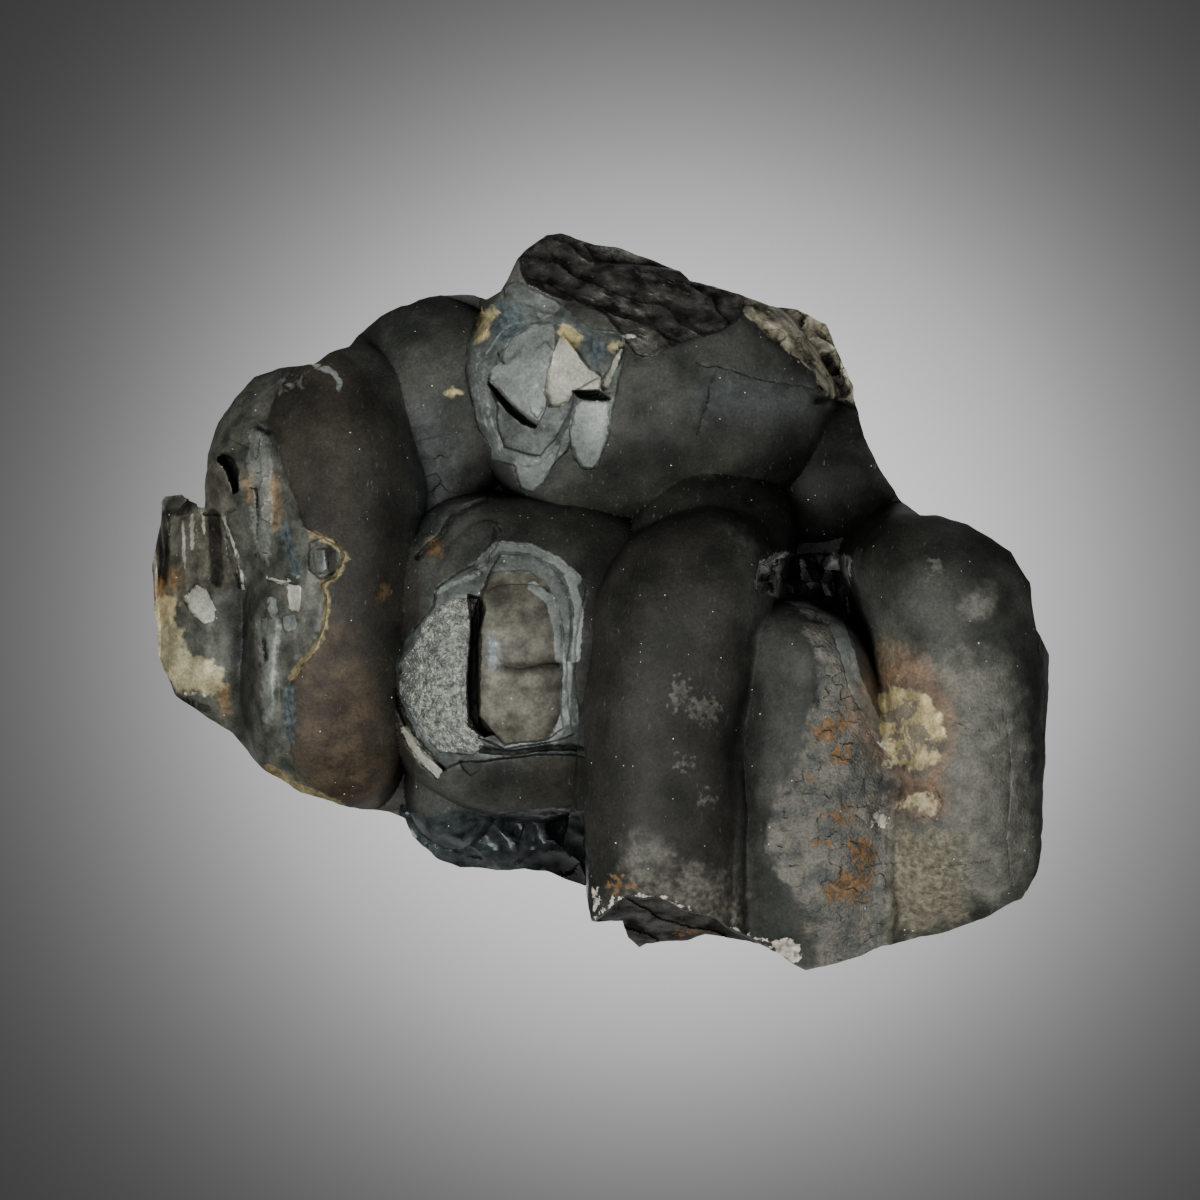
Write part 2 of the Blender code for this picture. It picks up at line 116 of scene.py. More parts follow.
# Lobes that run into each other without a crease, over how many millimetres of height at their +Y end and how
# many where they near the foot.
GROWN_TOGETHER = [
    (("left", "left upper", "left lower"), 3, 3), (("behind", "channel"), 2.5, 2.5), (("upper",), 1, 1),
    (("eye",), 1, 1), (("eye foot",), 1, 1), (("column", "column back"), 1.6, 1.6),
    (("column", "ridge", "right"), 1.6, 8), (("saddle",), 1, 1), (("peak",), 1, 1),
]

# The places along Y between which the first of those two measures turns into the second.
BLEND_PLACES = (-7.0, -24.0)

# How far the lobes' borders waver, the place along Y where their crests start to droop and over how far they
# do, how many millimetres a flank falls for each one outside a lobe, the height and the roughness of the
# matrix that they stand on, and how strongly the whole crust swells, broadly and finely.
LOBE_WAVER = 1.3
DROOP_FROM = -19.0
DROOP_OVER = 16.0
FLANK_SLOPE = 9.0
GROUND = 18.0
GROUND_ROUGH = 1.2
SWELL = 0.50
FINE_SWELL = 0.16

# The broken faces: how rough the break is, how far its plane is at least under the lobes, a place and the
# plane's height there, its fall per mm along X and Y, the kind of break, and the outline. The three kinds of
# break are splintered along the fibres, blocky, and glassy in shells.
BREAKS = {
    "top": dict(
        rough=1.5, least=0.5, at=(0, 26), height=32, fall=(0.22, 1.45), kind="splintered",
        outline=[
            (-10, 38), (-8.2, 34.2), (-7.4, 31.6), (-4, 30.2), (0, 28.6), (2.5, 26.4), (3.6, 23.6), (5, 23.8),
            (7, 25.2), (9.5, 26.2), (12, 26.9), (14, 28.4), (15.5, 30.5), (16.5, 33), (16, 38),
        ],
    ),
    "top corner": dict(
        rough=1, least=0.4, at=(14, 28), height=27.2, fall=(0.45, 0.3), kind="blocky",
        outline=[
            (14.2, 29), (15.8, 27.2), (19, 24.7), (21.5, 22.7), (21.7, 20.9), (25.2, 19.8), (30, 20),
            (26, 30), (15, 34),
        ],
    ),
    "foot of the column": dict(
        rough=1, least=0.6, at=(6, -31), height=25, fall=(0.1, -1.8), kind="splintered",
        outline=[
            (-2.4, -31.2), (-0.6, -31.8), (1, -30.9), (2.9, -29.6), (5.6, -29.6), (8.9, -31), (11, -31.7),
            (14.8, -33.7), (16.8, -34.6), (17, -38), (-3, -38),
        ],
    ),
    "foot of the eye lobe": dict(
        rough=1.2, least=0.3, at=(-10, -21), height=25, fall=(0, -1.7), kind="glassy",
        outline=[
            (-19.8, -20.6), (-17.4, -21.8), (-15, -20.9), (-11, -21.4), (-6, -20.8), (-1.6, -20.9), (-1, -32),
            (-24, -32),
        ],
    ),
    "cavity": dict(
        rough=1.5, least=1.2, at=(20, 1), height=29.5, fall=(-0.3, 0.65), kind="blocky",
        outline=[
            (15.4, 1.1), (15.8, 3.6), (18, 4.8), (21.5, 4.6), (25, 4.4), (24.9, -1.6), (22.6, -2.4),
            (21, -1.9), (19.4, -0.4), (17.6, 0.3),
        ],
    ),
}

# How far the outlines of the broken faces waver, and the least step down from the lobes to such a face.
BREAK_WAVER = 0.45
BREAK_LIP = 0.15

# Where the brown skin of the left lobe ends, from its top to its foot.
SKIN_LINE = [
    (-30.9, 24.5), (-30.9, 23.2), (-32.2, 21), (-33.4, 17.7), (-32.5, 16.2), (-31.7, 13.2), (-30.5, 10.2),
    (-29.5, 7.2), (-28.2, 6.6), (-26.5, 6), (-25.5, 4.4), (-26.2, 2.4), (-27.8, 1.6), (-27.3, 0.2),
    (-27.5, -2.6), (-28.4, -4.6), (-29.7, -6.3), (-30.8, -7.8), (-31, -9.8), (-30.7, -13.3), (-31, -15.3),
    (-30, -17.8), (-26, -20.5), (-24, -22),
]

# Scars where shells have come away: the depth in the middle, where a negative one stands out, the rise per mm
# along X and Y, and the outline.
SCARS = {
    "skinless side": dict(depth=0.45, outline=SKIN_LINE + [(-46, -22), (-46, 24.5)]),
    "nodule pit": dict(depth=0.35, outline=[
        (-29, 5.6), (-27.6, 6.2), (-26, 5.2), (-25.7, 4.2), (-26.4, 2.7), (-27.8, 2), (-28.9, 3),
    ]),
    "nodule": dict(depth=-0.4, tilt=(0.25, 0), outline=[
        (-28.5, 4.9), (-27.3, 5.1), (-27.1, 2.9), (-28.2, 2.5),
    ]),
    "cream facet": dict(depth=0.2, tilt=(0.35, 0.1), outline=[
        (-31.2, 1.6), (-29.8, 1.4), (-29.9, -1.2), (-31, -1),
    ]),
    "pale facet": dict(depth=0.15, tilt=(-0.35, 0.2), outline=[
        (-33.2, 0.4), (-32.4, 0.2), (-32.1, -1.2), (-32.7, -1.9), (-33.2, -1),
    ]),
    "low facet": dict(depth=0.2, tilt=(0.25, -0.3), outline=[
        (-31.7, -1.7), (-30.4, -1.4), (-30.2, -2.8), (-31.4, -3.2),
    ]),
    "curved chip": dict(depth=0.35, tilt=(0, 0.3), outline=[
        (-33.3, 2.9), (-31.8, 2.2), (-30, 2.9), (-30.1, 1.6), (-31.9, 1.6), (-33.4, 2),
    ]),
    "upper scar": dict(depth=0.7, outline=[
        (-9.6, 31.3), (-8.3, 31.8), (-4.5, 29.9), (-0.7, 26.9), (2.3, 26.7), (2.6, 25.3), (1.6, 20.7),
        (0.9, 16.4), (-0.4, 13.2), (-1.6, 13.1), (-2.7, 14.3), (-3, 15.7), (-3.3, 15), (-4.6, 13.7),
        (-5.7, 11.7), (-6.8, 10.8), (-7.9, 11.1), (-8.5, 13.5), (-10.8, 14), (-10.9, 15.1), (-12.2, 17.1),
        (-12.9, 20.7), (-13.4, 22.9), (-13.3, 25.3), (-12.6, 27.5), (-11.6, 29), (-9.5, 30.3),
    ]),
    "outer layer": dict(depth=0.3, outline=[
        (-11.9, 25.8), (-12.5, 22.8), (-12, 20), (-11.3, 17.4), (-10.2, 15.9), (-9.9, 14.7), (-7.6, 13.4),
        (-6.3, 13.5), (-4.6, 14.9), (-3.2, 17.4), (-2.9, 18.8), (-1.4, 20.4), (1.1, 20.6), (1.7, 24.2),
        (-1, 26.4), (-4.5, 28.4), (-8.2, 29.6), (-10.6, 28.4),
    ]),
    "middle layer": dict(depth=0.25, outline=[
        (-11.3, 24.6), (-11.7, 21.8), (-11.1, 19.2), (-10.6, 17.2), (-9.8, 15.4), (-8.4, 14.5), (-6.1, 14),
        (-4.4, 15.5), (-2.9, 18.8), (-2, 20.7), (0.9, 21.3), (1, 24), (-1.2, 26.2), (-4.5, 27.9),
        (-7.2, 28.4), (-9.8, 27),
    ]),
    "upper floor": dict(depth=0.9, tilt=(0.03, -0.03), outline=[
        (-11.2, 21.6), (-10.3, 19.3), (-10.2, 17), (-9.5, 15.4), (-8.2, 14.8), (-6, 14.4), (-4.5, 16),
        (-2.7, 19.3), (-2.5, 20.9), (0.1, 22.2), (-1, 26.2), (-4.5, 27.5), (-6.5, 27.5), (-8.8, 26.2),
        (-11.1, 22.2),
    ]),
    "grey facet": dict(depth=-0.6, tilt=(-0.14, -0.05), outline=[
        (-11.1, 22), (-10, 24.4), (-8.8, 26.2), (-6.5, 27.5), (-4.6, 27.5), (-4.5, 25.2), (-5.3, 22.7),
        (-5.4, 20.2), (-5.5, 19), (-6.3, 17.4), (-7.3, 18.2), (-9, 19.7), (-10.3, 21),
    ]),
    "lens on the grey facet": dict(depth=-0.2, tilt=(0.1, 0.1), outline=[
        (-7.3, 24.3), (-5.5, 25.9), (-4.8, 25), (-5.5, 23.3), (-6.2, 23.2),
    ]),
    "upper ledge": dict(depth=0.28, tilt=(0.08, 0.12), outline=[
        (-10.3, 24.6), (-8.8, 26.2), (-6.5, 27.4), (-5, 27.2), (-5.9, 26.3), (-7.5, 25.8), (-8.5, 24.4),
        (-9.6, 23.6),
    ]),
    "left ledge": dict(depth=0.25, tilt=(0.12, 0.1), outline=[
        (-10.9, 22.2), (-9.8, 22.8), (-8.6, 21.7), (-7.9, 20.2), (-7.4, 18.6), (-8.4, 19.2), (-9.6, 20.4),
    ]),
    "lower ledge": dict(depth=0.22, tilt=(-0.1, 0.08), outline=[
        (-7.2, 20.9), (-6.2, 21.6), (-5.4, 20.6), (-5.6, 19.2), (-6.3, 18), (-6.9, 18.9),
    ]),
    "bright facet": dict(depth=0.2, tilt=(0.3, 0.24), outline=[
        (-4.5, 25.2), (-5.3, 22.2), (-5.5, 20.7), (-5.1, 19.3), (-4.2, 19.3), (-3.2, 19.8), (-2.6, 21),
        (0, 21), (0.1, 22.2), (-1, 23), (-2.5, 25), (-3.7, 26.7),
    ]),
    "left slot": dict(depth=2.2, outline=[
        (-11.1, 21.6), (-10, 21.1), (-8.2, 18.9), (-6.2, 17.7), (-6.4, 17.2), (-7.8, 17.6), (-9.3, 18.9),
        (-10.4, 20.3),
    ]),
    "right slot": dict(depth=2.4, outline=[(-2.7, 20.9), (-0.2, 20.9), (1, 20), (-0.4, 20), (-2, 20.2)]),
    "peg": dict(depth=-0.5, tilt=(0.05, -0.22), outline=[
        (-2.5, 27.6), (-0.4, 26.6), (2.2, 26.2), (1.6, 24.2), (0.1, 21.9), (-0.9, 23), (-2.3, 25.8),
    ]),
    "bevel": dict(depth=-0.1, tilt=(0.9, 0.2), outline=[
        (2.1, 25.2), (1.4, 24), (0.2, 21.3), (0.3, 20.9), (0.8, 21.2), (1.6, 23.2), (2.4, 25),
    ]),
    "right tongue": dict(depth=0.35, tilt=(0.02, 0.03), outline=[
        (-2.3, 19.9), (1, 19.7), (0.7, 16.4), (-0.2, 13.6), (-1, 13.1), (-1.9, 13.2), (-2.7, 14.8), (-3, 17),
        (-2.7, 17.9),
    ]),
    "left tongue": dict(depth=0.3, tilt=(-0.05, 0.05), outline=[
        (-8.4, 14.4), (-6, 14.2), (-4, 15.6), (-4.6, 13.7), (-5.7, 11.7), (-6.8, 10.8), (-7.9, 11.1),
        (-8.5, 13),
    ]),
    "eye flap": dict(depth=-0.45, tilt=(0.06, 0.02), outline=[
        (-16.2, 2.6), (-15, 5.2), (-12.8, 7.6), (-10.8, 7.9), (-9.9, 6.8), (-10.3, 5.2), (-11.8, 3.4),
        (-13.6, 2.4),
    ]),
    "eye scar": dict(depth=1, outline=[
        (-16.3, 1), (-15.2, 2), (-13.1, 3.2), (-11.5, 3.8), (-10, 5.7), (-7.2, 5.5), (-4.8, 4.2), (-2.4, 2.5),
        (-1.5, 1.2), (-1.9, -0.8), (-2.4, -3.6), (-2.6, -7.3), (-2.1, -11), (-1.6, -14.5), (-1.5, -15.6),
        (-5.4, -15.4), (-9.1, -15.7), (-11.3, -16), (-13.9, -16.2), (-15.5, -16.9), (-17.6, -14.7),
        (-19.2, -11.9), (-20.3, -9.1), (-20.4, -6.4), (-19.6, -4.1), (-18.3, -2.7), (-16.8, -1),
    ]),
    "silver skin": dict(depth=0.35, tilt=(0, 0.01), outline=[
        (-14.6, 0.1), (-12.3, 0.1), (-12.9, -2.1), (-13.2, -5.4), (-13.3, -8.2), (-13.1, -11.5),
        (-11.5, -14.5), (-12.8, -15.4), (-15.9, -15.1), (-17.8, -13.4), (-19, -11), (-20, -9.1), (-20, -6.4),
        (-18.3, -4.3), (-17.4, -2.1), (-15.9, -0.6),
    ]),
    "first ring": dict(depth=0.7, outline=[
        (-10, 4.5), (-7, 4.4), (-4.8, 3.1), (-3.3, 1), (-2.9, -1.5), (-3.1, -5), (-3.4, -6.2), (-3.3, -10),
        (-2.6, -13.4), (-4, -14), (-9.5, -14.8), (-12, -13.8), (-12, 0.5),
    ]),
    "second ring": dict(depth=0.8, outline=[
        (-11.9, 1), (-10.8, 2.8), (-7, 2.9), (-5.4, 1.6), (-4.3, -0.8), (-3.7, -3), (-3.8, -6), (-4, -10.4),
        (-3.7, -12.8), (-5, -13.8), (-9.5, -14.4), (-12, -12.5),
    ]),
    "eye slot": dict(depth=3.2, outline=[
        (-13.1, 0.5), (-11.9, 0.3), (-11.5, -1), (-12.1, -4), (-12, -9), (-12, -11.5), (-10.5, -13.4),
        (-11.5, -13.6), (-13.1, -12.6), (-13.2, -8), (-12.9, -3),
    ]),
    "strip under the eye": dict(depth=0.5, outline=[
        (-12, -14.6), (-8.5, -14.9), (-5, -14.4), (-1.6, -14.5), (-1.5, -15), (-5, -15), (-9, -15.4),
        (-12, -15.2),
    ]),
    "chip below the eye": dict(depth=0.4, tilt=(0.2, 0.2), outline=[
        (-14, -16), (-11.8, -16.2), (-12, -17), (-12.9, -17.5), (-13.6, -16.9),
    ]),
    "bevel left of the eye": dict(depth=0.45, tilt=(0.55, 0.45), outline=[
        (-20.1, -12.7), (-19.3, -12.6), (-17.6, -15), (-15.6, -17.1), (-16.2, -17.8), (-18.4, -15.8),
    ]),
    "hole in the left lobe": dict(depth=5, outline=[
        (-38.3, 14.1), (-37.6, 14.6), (-36.8, 14.3), (-36.2, 13), (-36.2, 10.9), (-36.7, 10.7), (-37.1, 12.4),
        (-37.6, 13.4),
    ]),
    "chip on the left shelf": dict(depth=0.6, tilt=(0.3, -0.3), outline=[
        (-41.8, 0.2), (-40.4, 1.5), (-39.4, 1), (-38.5, -0.9), (-38.6, -2), (-39.6, -2.4), (-41, -1.2),
    ]),
    "rim of the rough ridge": dict(depth=0.12, outline=[
        (19.2, -0.8), (20.6, -1.4), (21.1, -4), (21.6, -8.5), (20.9, -12.6), (19.6, -16.6), (17.5, -19.6),
        (17, -24.5), (18.2, -28), (20.6, -31.5), (22, -37.5), (28.4, -35), (28.9, -26), (28.6, -18),
        (28, -12.6), (25.6, -7.7), (24.8, -3), (23, -2.2),
    ]),
}

# How wide the step at a scar's edge is, and how far its outline wavers.
SCAR_EDGE = 0.24
SCAR_WAVER = 0.18

# The pillow on the eye's floor: its middle, its reach along X and Y, its rise and how square it is, where 2
# is an ellipse. Then the crease across it: its place along Y, between which places along X it deepens, its
# depth and width, how far it wavers, and how steep its sides are.
EYE_MIDDLE = (-8.1, -6.3)
EYE_REACH = (4.3, 7.9)
EYE_RISE = 0.8
EYE_SQUARE = 3.6
CREASE = dict(y=-6.5, x=(-11.0, -4.4), depth=1.5, width=0.5, waver=0.25, steep=1.8)

# Cracks: their depth, how wide they are to either side, and the line they follow.
CRACKS = {
    "across the upper lobe": dict(depth=0.35, width=0.09, path=[
        (9.6, 23.7), (10.7, 23.4), (12.1, 23.2), (15.8, 22.1), (21.7, 21.1),
    ]),
    "down the upper lobe": dict(depth=0.28, width=0.1, path=[
        (11.9, 23.1), (11.2, 21.7), (10.5, 19.2), (9.6, 16.6),
    ]),
    "slot in the corner": dict(depth=2.5, width=0.6, path=[(21.5, 20.1), (23.4, 20), (25.3, 19.5)]),
    "behind the eye flap": dict(depth=1.3, width=0.42, path=[
        (-11.2, 10.1), (-13.3, 9.3), (-14.4, 8.4), (-15.9, 6.3), (-18.2, 4.2),
    ]),
    "eye flap, right edge": dict(depth=1, width=0.5, path=[
        (-10.2, 7), (-10.5, 5.6), (-11.6, 4), (-12.2, 3.4),
    ]),
    "left of the eye": dict(depth=1.2, width=0.3, path=[
        (-20.5, -9), (-20.1, -11), (-19.2, -12.7), (-17.5, -15.1), (-15.6, -16.8),
    ]),
    "by the hole": dict(depth=0.3, width=0.09, path=[(-38.5, 16.7), (-36.6, 15.9), (-34.8, 15.2)]),
    "low on the right lobe": dict(depth=0.25, width=0.09, path=[(28.9, -26.2), (33, -26.6), (38.8, -26)]),
    "round the gold": dict(depth=0.3, width=0.09, path=[
        (32.9, -18.2), (34, -19.9), (33.4, -22), (32.6, -21.4), (31, -21.8), (29.5, -21.1),
    ]),
    "right ledge": dict(depth=0.8, width=0.3, path=[(43.6, -4), (44, -8), (43.7, -12), (44.2, -14)]),
    "left step": dict(depth=0.9, width=0.22, path=[(-39.6, 8.7), (-37.6, 8.7), (-36.6, 9)]),
    "left flute": dict(depth=0.8, width=0.35, path=[(-37.8, 8.5), (-37, 5), (-36, 1.4)]),
    "left dark line": dict(depth=0.5, width=0.2, path=[(-33.6, -4.2), (-33.3, -5.9)]),
    "cone of the flaky ridge": dict(depth=0.7, width=0.25, path=[(-34.3, 11), (-34.1, 7.6), (-34.3, 4.6)]),
    "far down the right lobe": dict(depth=0.25, width=0.09, path=[
        (40.6, -12), (40.9, -18), (40.4, -24), (41.2, -29),
    ]),
    "across the right lobe": dict(depth=0.2, width=0.07, path=[(34, -11.5), (37.5, -13), (40.6, -12.6)]),
}

# How far the cracks waver.
CRACK_WAVER = 0.22

# The broken fibres at the far left: where there are flutes side by side, how far apart, and how deep.
FLUTES = [
    (-44.8, 9.3), (-37.4, 9.3), (-36.2, 1.6), (-38, 0.8), (-39.5, 1.6), (-41.8, 0), (-43.4, -1), (-45.2, -1),
]
FLUTE_PITCH = 1.45
FLUTE_DEPTH = 0.6

# The flaky ridge and the pale spine on the skinless side of the left lobe, how high and how wide to either
# side the spine is, and between which places along Y it comes up to that height.
FLAKY_RIDGE = [(-35, 17.2), (-33.6, 17.6), (-32.9, 15), (-32.4, 9), (-33.2, 3.4), (-34.4, 5), (-35.2, 11)]
PALE_SPINE = [(-33, -2), (-33.2, -6), (-33.1, -12)]
SPINE_RISE = 0.55
SPINE_HALF_WIDTH = 1.1
SPINE_ENDS = (-13.5, -9.0)

# Where the channel left of the upper scar is lumpy.
CHANNEL = [(-19.2, 18), (-14.6, 17.2), (-13.8, 13), (-13, 10.5), (-15.8, 7), (-19, 3.5), (-19.6, 9)]

# The curve inside the rim, from which the surface is laid out in to the middle and out to the rim: how far
# the rim is averaged along itself, and how far it is pulled in.
INNER_SPREAD = 3.2
INNER_PULL = 3.2

# Rings of points between that curve and the rim, down the walls, and under the base.
BAND_RINGS = 28
WALL_RINGS = 110
BASE_RINGS = 12


def near_box(x, y, points, margin):
    """Which of the places lie in the box round an outline or a line, with a margin."""
    low, high = points.min(0) - margin, points.max(0) + margin
    return (x > low[0]) & (x < high[0]) & (y > low[1]) & (y < high[1])


def side_distance(x, y, starts, ends):
    """Distance to the nearest of some straight sides: each place is dropped square onto a side, and where it
    would fall past an end, the end counts."""
    nearest = np.full(x.shape, np.inf)
    for (x0, y0), (x1, y1) in zip(starts, ends):
        dx, dy = x1 - x0, y1 - y0
        along = np.clip(((x - x0) * dx + (y - y0) * dy) / (dx * dx + dy * dy), 0, 1)
        nearest = np.minimum(nearest, (x - x0 - along * dx) ** 2 + (y - y0 - along * dy) ** 2)
    return np.sqrt(nearest)


def inside_distance(x, y, outline, margin=3.0):
    """Distance to a closed outline, positive inside it and never under minus the margin. A place is inside
    where a ray from it along +X crosses an odd number of sides."""
    points = np.array(outline, float)
    close = near_box(x, y, points, margin)
    px, py = x[close], y[close]
    following = np.roll(points, -1, axis=0)
    inside = np.zeros(px.shape, bool)
    for (x0, y0), (x1, y1) in zip(points, following):
        if y0 != y1:
            inside ^= ((y0 > py) != (y1 > py)) & (px < x0 + (py - y0) * (x1 - x0) / (y1 - y0))
    signed = np.where(inside, 1, -1) * side_distance(px, py, points, following)
    result = np.full(x.shape, -margin, float)
    result[close] = np.maximum(signed, -margin)
    return result


def path_distance(x, y, path, margin=2.0):
    """Distance to an open line of straight runs, at most the margin."""
    points = np.array(path, float)
    close = near_box(x, y, points, margin)
    result = np.full(x.shape, margin, float)
    result[close] = np.minimum(side_distance(x[close], y[close], points[:-1], points[1:]), margin)
    return result


def smoothstep(start, end, value):
    """0 before start, 1 after end, and the cubic 3t^2 - 2t^3 between them."""
    share = np.clip((value - start) / (end - start), 0, 1)
    return share * share * (3 - 2 * share)


def within(x, y, outline, over):
    """0 outside an outline, rising to 1 over this many millimetres inside it."""
    return smoothstep(0, over, inside_distance(x, y, outline))


def mottle(x, y, size, seed):
    """Smooth noise between -1 and 1: random values on a square lattice of this size, blended with
    smoothstep."""
    u, v = x / size, y / size
    i, j = np.floor(u).astype(int), np.floor(v).astype(int)
    fu, fv = smoothstep(0, 1, u - i), smoothstep(0, 1, v - j)
    table = np.random.default_rng(seed).uniform(-1, 1, (NOISE_TABLE, NOISE_TABLE))
    left, right = i % NOISE_TABLE, (i + 1) % NOISE_TABLE
    near, far = j % NOISE_TABLE, (j + 1) % NOISE_TABLE
    low = table[left, near] * (1 - fu) + table[right, near] * fu
    high = table[left, far] * (1 - fu) + table[right, far] * fu
    return low * (1 - fv) + high * fv


def layers(x, y, size, seed, steps=4, fade=0.5):
    """Noise of several sizes added: each half the size and `fade` times the strength of the one before, and
    turned against it so that the lattices don't line up."""
    total, weight, weights = 0, 1, 0
    for step in range(steps):
        x, y = 0.8 * x + 0.6 * y, 0.8 * y - 0.6 * x
        total = total + weight * mottle(x, y, size / 2**step, seed + step)
        weights += weight
        weight *= fade
    return total / weights


def wavered(x, y, far, size, seeds, steps=4):
    """The places moved by noise, at most this far, so that what is drawn through them gets a wavering
    edge."""
    return x + far * layers(x, y, size, seeds[0], steps), y + far * layers(x, y, size, seeds[1], steps)


def near_cells(x, y, size, random):
    """The nine cells of a jittered lattice round each place: for each, its position in the tables of cells,
    and how far the place is from the cell's own spot, in cells along X and along Y."""
    u, v = x / size, y / size
    i, j = np.floor(u).astype(int), np.floor(v).astype(int)
    spot = random.uniform(0.1, 0.9, (CELL_TABLE, CELL_TABLE, 2))
    cells = []
    for a, b in itertools.product((-1, 0, 1), repeat=2):
        cell = (i + a) % CELL_TABLE, (j + b) % CELL_TABLE
        cells.append((cell, u - (i + a) - spot[cell][..., 0], v - (j + b) - spot[cell][..., 1]))
    return cells


def facets(x, y, size, seed, tilt):
    """Broken crystal faces: each cell of a jittered lattice has a flat face tilted its own way, and a place
    takes the face of the cell whose spot is nearest."""
    random = np.random.default_rng(seed)
    cells = near_cells(x, y, size, random)
    lean = random.normal(0, tilt, (CELL_TABLE, CELL_TABLE, 2))
    lift = random.uniform(-tilt, tilt, (CELL_TABLE, CELL_TABLE))
    nearest, height = np.full(x.shape, np.inf), np.zeros(x.shape)
    for cell, du, dv in cells:
        away = du * du + dv * dv
        face = (lift[cell] + lean[cell][..., 0] * du + lean[cell][..., 1] * dv) * size
        height = np.where(away < nearest, face, height)
        nearest = np.minimum(nearest, away)
    return height


def shells(x, y, size, seed):
    """A glassy break: scallops, each a shallow bowl round its own spot, which meet in sharp rims."""
    cells = near_cells(x, y, size, np.random.default_rng(seed))
    return size * np.min([du * du + 0.6 * dv * dv for _, du, dv in cells], axis=0)


def dome(x, y, at, reach, foot, crest, run=0, turn=0, square=2.0, lean=0, widen=0, over=1, droop=0):
    """Height of a rounded lobe: its foot plus its rise times the root of 1 - q, with q the superellipse sum
    of how far the place is out sideways and along. Outside q = 1 the flank falls on steeply."""
    c, s = math.cos(math.radians(turn)), math.sin(math.radians(turn))
    u = (x - at[0]) * c + (y - at[1]) * s
    v = -(x - at[0]) * s + (y - at[1]) * c
    near_end = 1 - np.clip((reach[1] - v) / over, 0, 1)
    u = (u - lean * near_end**2) / (1 + widen * near_end**2)
    v = np.where(v > 0, v, np.minimum(v + run, 0))
    q = (np.abs(u / reach[0]) ** square + np.abs(v / reach[1]) ** square) ** (2 / square)
    rise = crest - foot - droop * np.clip((DROOP_FROM - y) / DROOP_OVER, 0, 1) ** 2
    flank = FLANK_SLOPE * (np.sqrt(np.maximum(q, 1)) - 1) * min(reach)
    return foot + rise * np.sqrt(np.clip(1 - q, 0, 1)) - flank


def smooth_higher(a, b, width):
    """The higher of two heights, rounded over where they differ by less than the width."""
    share = np.clip(0.5 + 0.5 * (a - b) / width, 0, 1)
    return b + (a - b) * share + width * share * (1 - share)


def lobe_heights(x, y):
    """The crust before anything broke: the highest lobe at each place, over the matrix, with a slight
    swell."""
    height = GROUND + GROUND_ROUGH * layers(x, y, size=9, seed=3)
    low = smoothstep(*BLEND_PLACES, y)
    x, y = wavered(x, y, LOBE_WAVER, size=11, seeds=(91, 95), steps=3)
    for names, width, width_low in GROWN_TOGETHER:
        group = dome(x, y, **LOBES[names[0]])
        for name in names[1:]:
            group = smooth_higher(group, dome(x, y, **LOBES[name]), width + (width_low - width) * low)
        height = np.maximum(height, group)
    swell = SWELL * layers(x, y, size=9, seed=61, steps=2)
    swell = swell + FINE_SWELL * layers(x, y, size=2.8, seed=71, steps=5)
    return height + swell


def splintered(x, y):
    """Relief of a break along the fibres: long thin ridges where noise crosses 0, plates that overlap like
    tiles along a swirling line, and broad lumps."""
    along, across = 0.91 * x - 0.42 * y, 0.42 * x + 0.91 * y
    fibres = 1 - 2 * np.abs(layers(along / 2.6, across, size=1.2, seed=41, fade=0.6))
    swirl = (0.4 * x + 0.9 * y + 3.2 * layers(x, y, size=7, seed=42, steps=3)) / 2.6
    plates = swirl - np.floor(swirl) - 0.5
    return 0.26 * fibres + 0.85 * plates + layers(x, y, size=4, seed=43, fade=0.6)


def blocky(x, y):
    """Relief of a break between crystals: large faces with small ones on them."""
    return 0.9 * facets(x, y, size=2.2, seed=44, tilt=0.45) + 0.8 * facets(x, y, size=0.9, seed=45, tilt=0.35)


def glassy(x, y):
    """Relief of a glassy break: large and small shells, with a few flat faces."""
    bowls = shells(x + 0.6 * y, y, size=4.2, seed=46) + 0.35 * shells(x - 0.3 * y, y, size=1.7, seed=47)
    return bowls + 0.25 * facets(x, y, size=2.0, seed=48, tilt=0.3) - 0.8


RELIEFS = {"splintered": splintered, "blocky": blocky, "glassy": glassy}


def break_faces(height, x, y):
    """Lowers the lobes to each broken face's plane plus its relief, inside a ragged outline."""
    ragged = wavered(x, y, BREAK_WAVER, size=2.5, seeds=(21, 31))
    for face in BREAKS.values():
        inner = smoothstep(-0.05, SCAR_EDGE, inside_distance(*ragged, face["outline"]))
        plane = face["height"] - face["fall"][0] * (x - face["at"][0]) - face["fall"][1] * (y - face["at"][1])
        floor = np.minimum(plane, height - face["least"]) + face["rough"] * RELIEFS[face["kind"]](x, y)
        height = height + (np.minimum(floor, height - BREAK_LIP) - height) * inner
    return height


def sink_scars(height, x, y):
    """Sinks each scar by its depth, on a plane that may tilt."""
    ragged = wavered(x, y, SCAR_WAVER, size=1.2, seeds=(22, 32))
    for scar in SCARS.values():
        middle = np.mean(scar["outline"], axis=0)
        tilt = scar.get("tilt", (0, 0))
        depth = scar["depth"] - tilt[0] * (x - middle[0]) - tilt[1] * (y - middle[1])
        distance = inside_distance(*ragged, scar["outline"])
        height = height - depth * smoothstep(-SCAR_EDGE / 2, SCAR_EDGE / 2, distance)
    return height


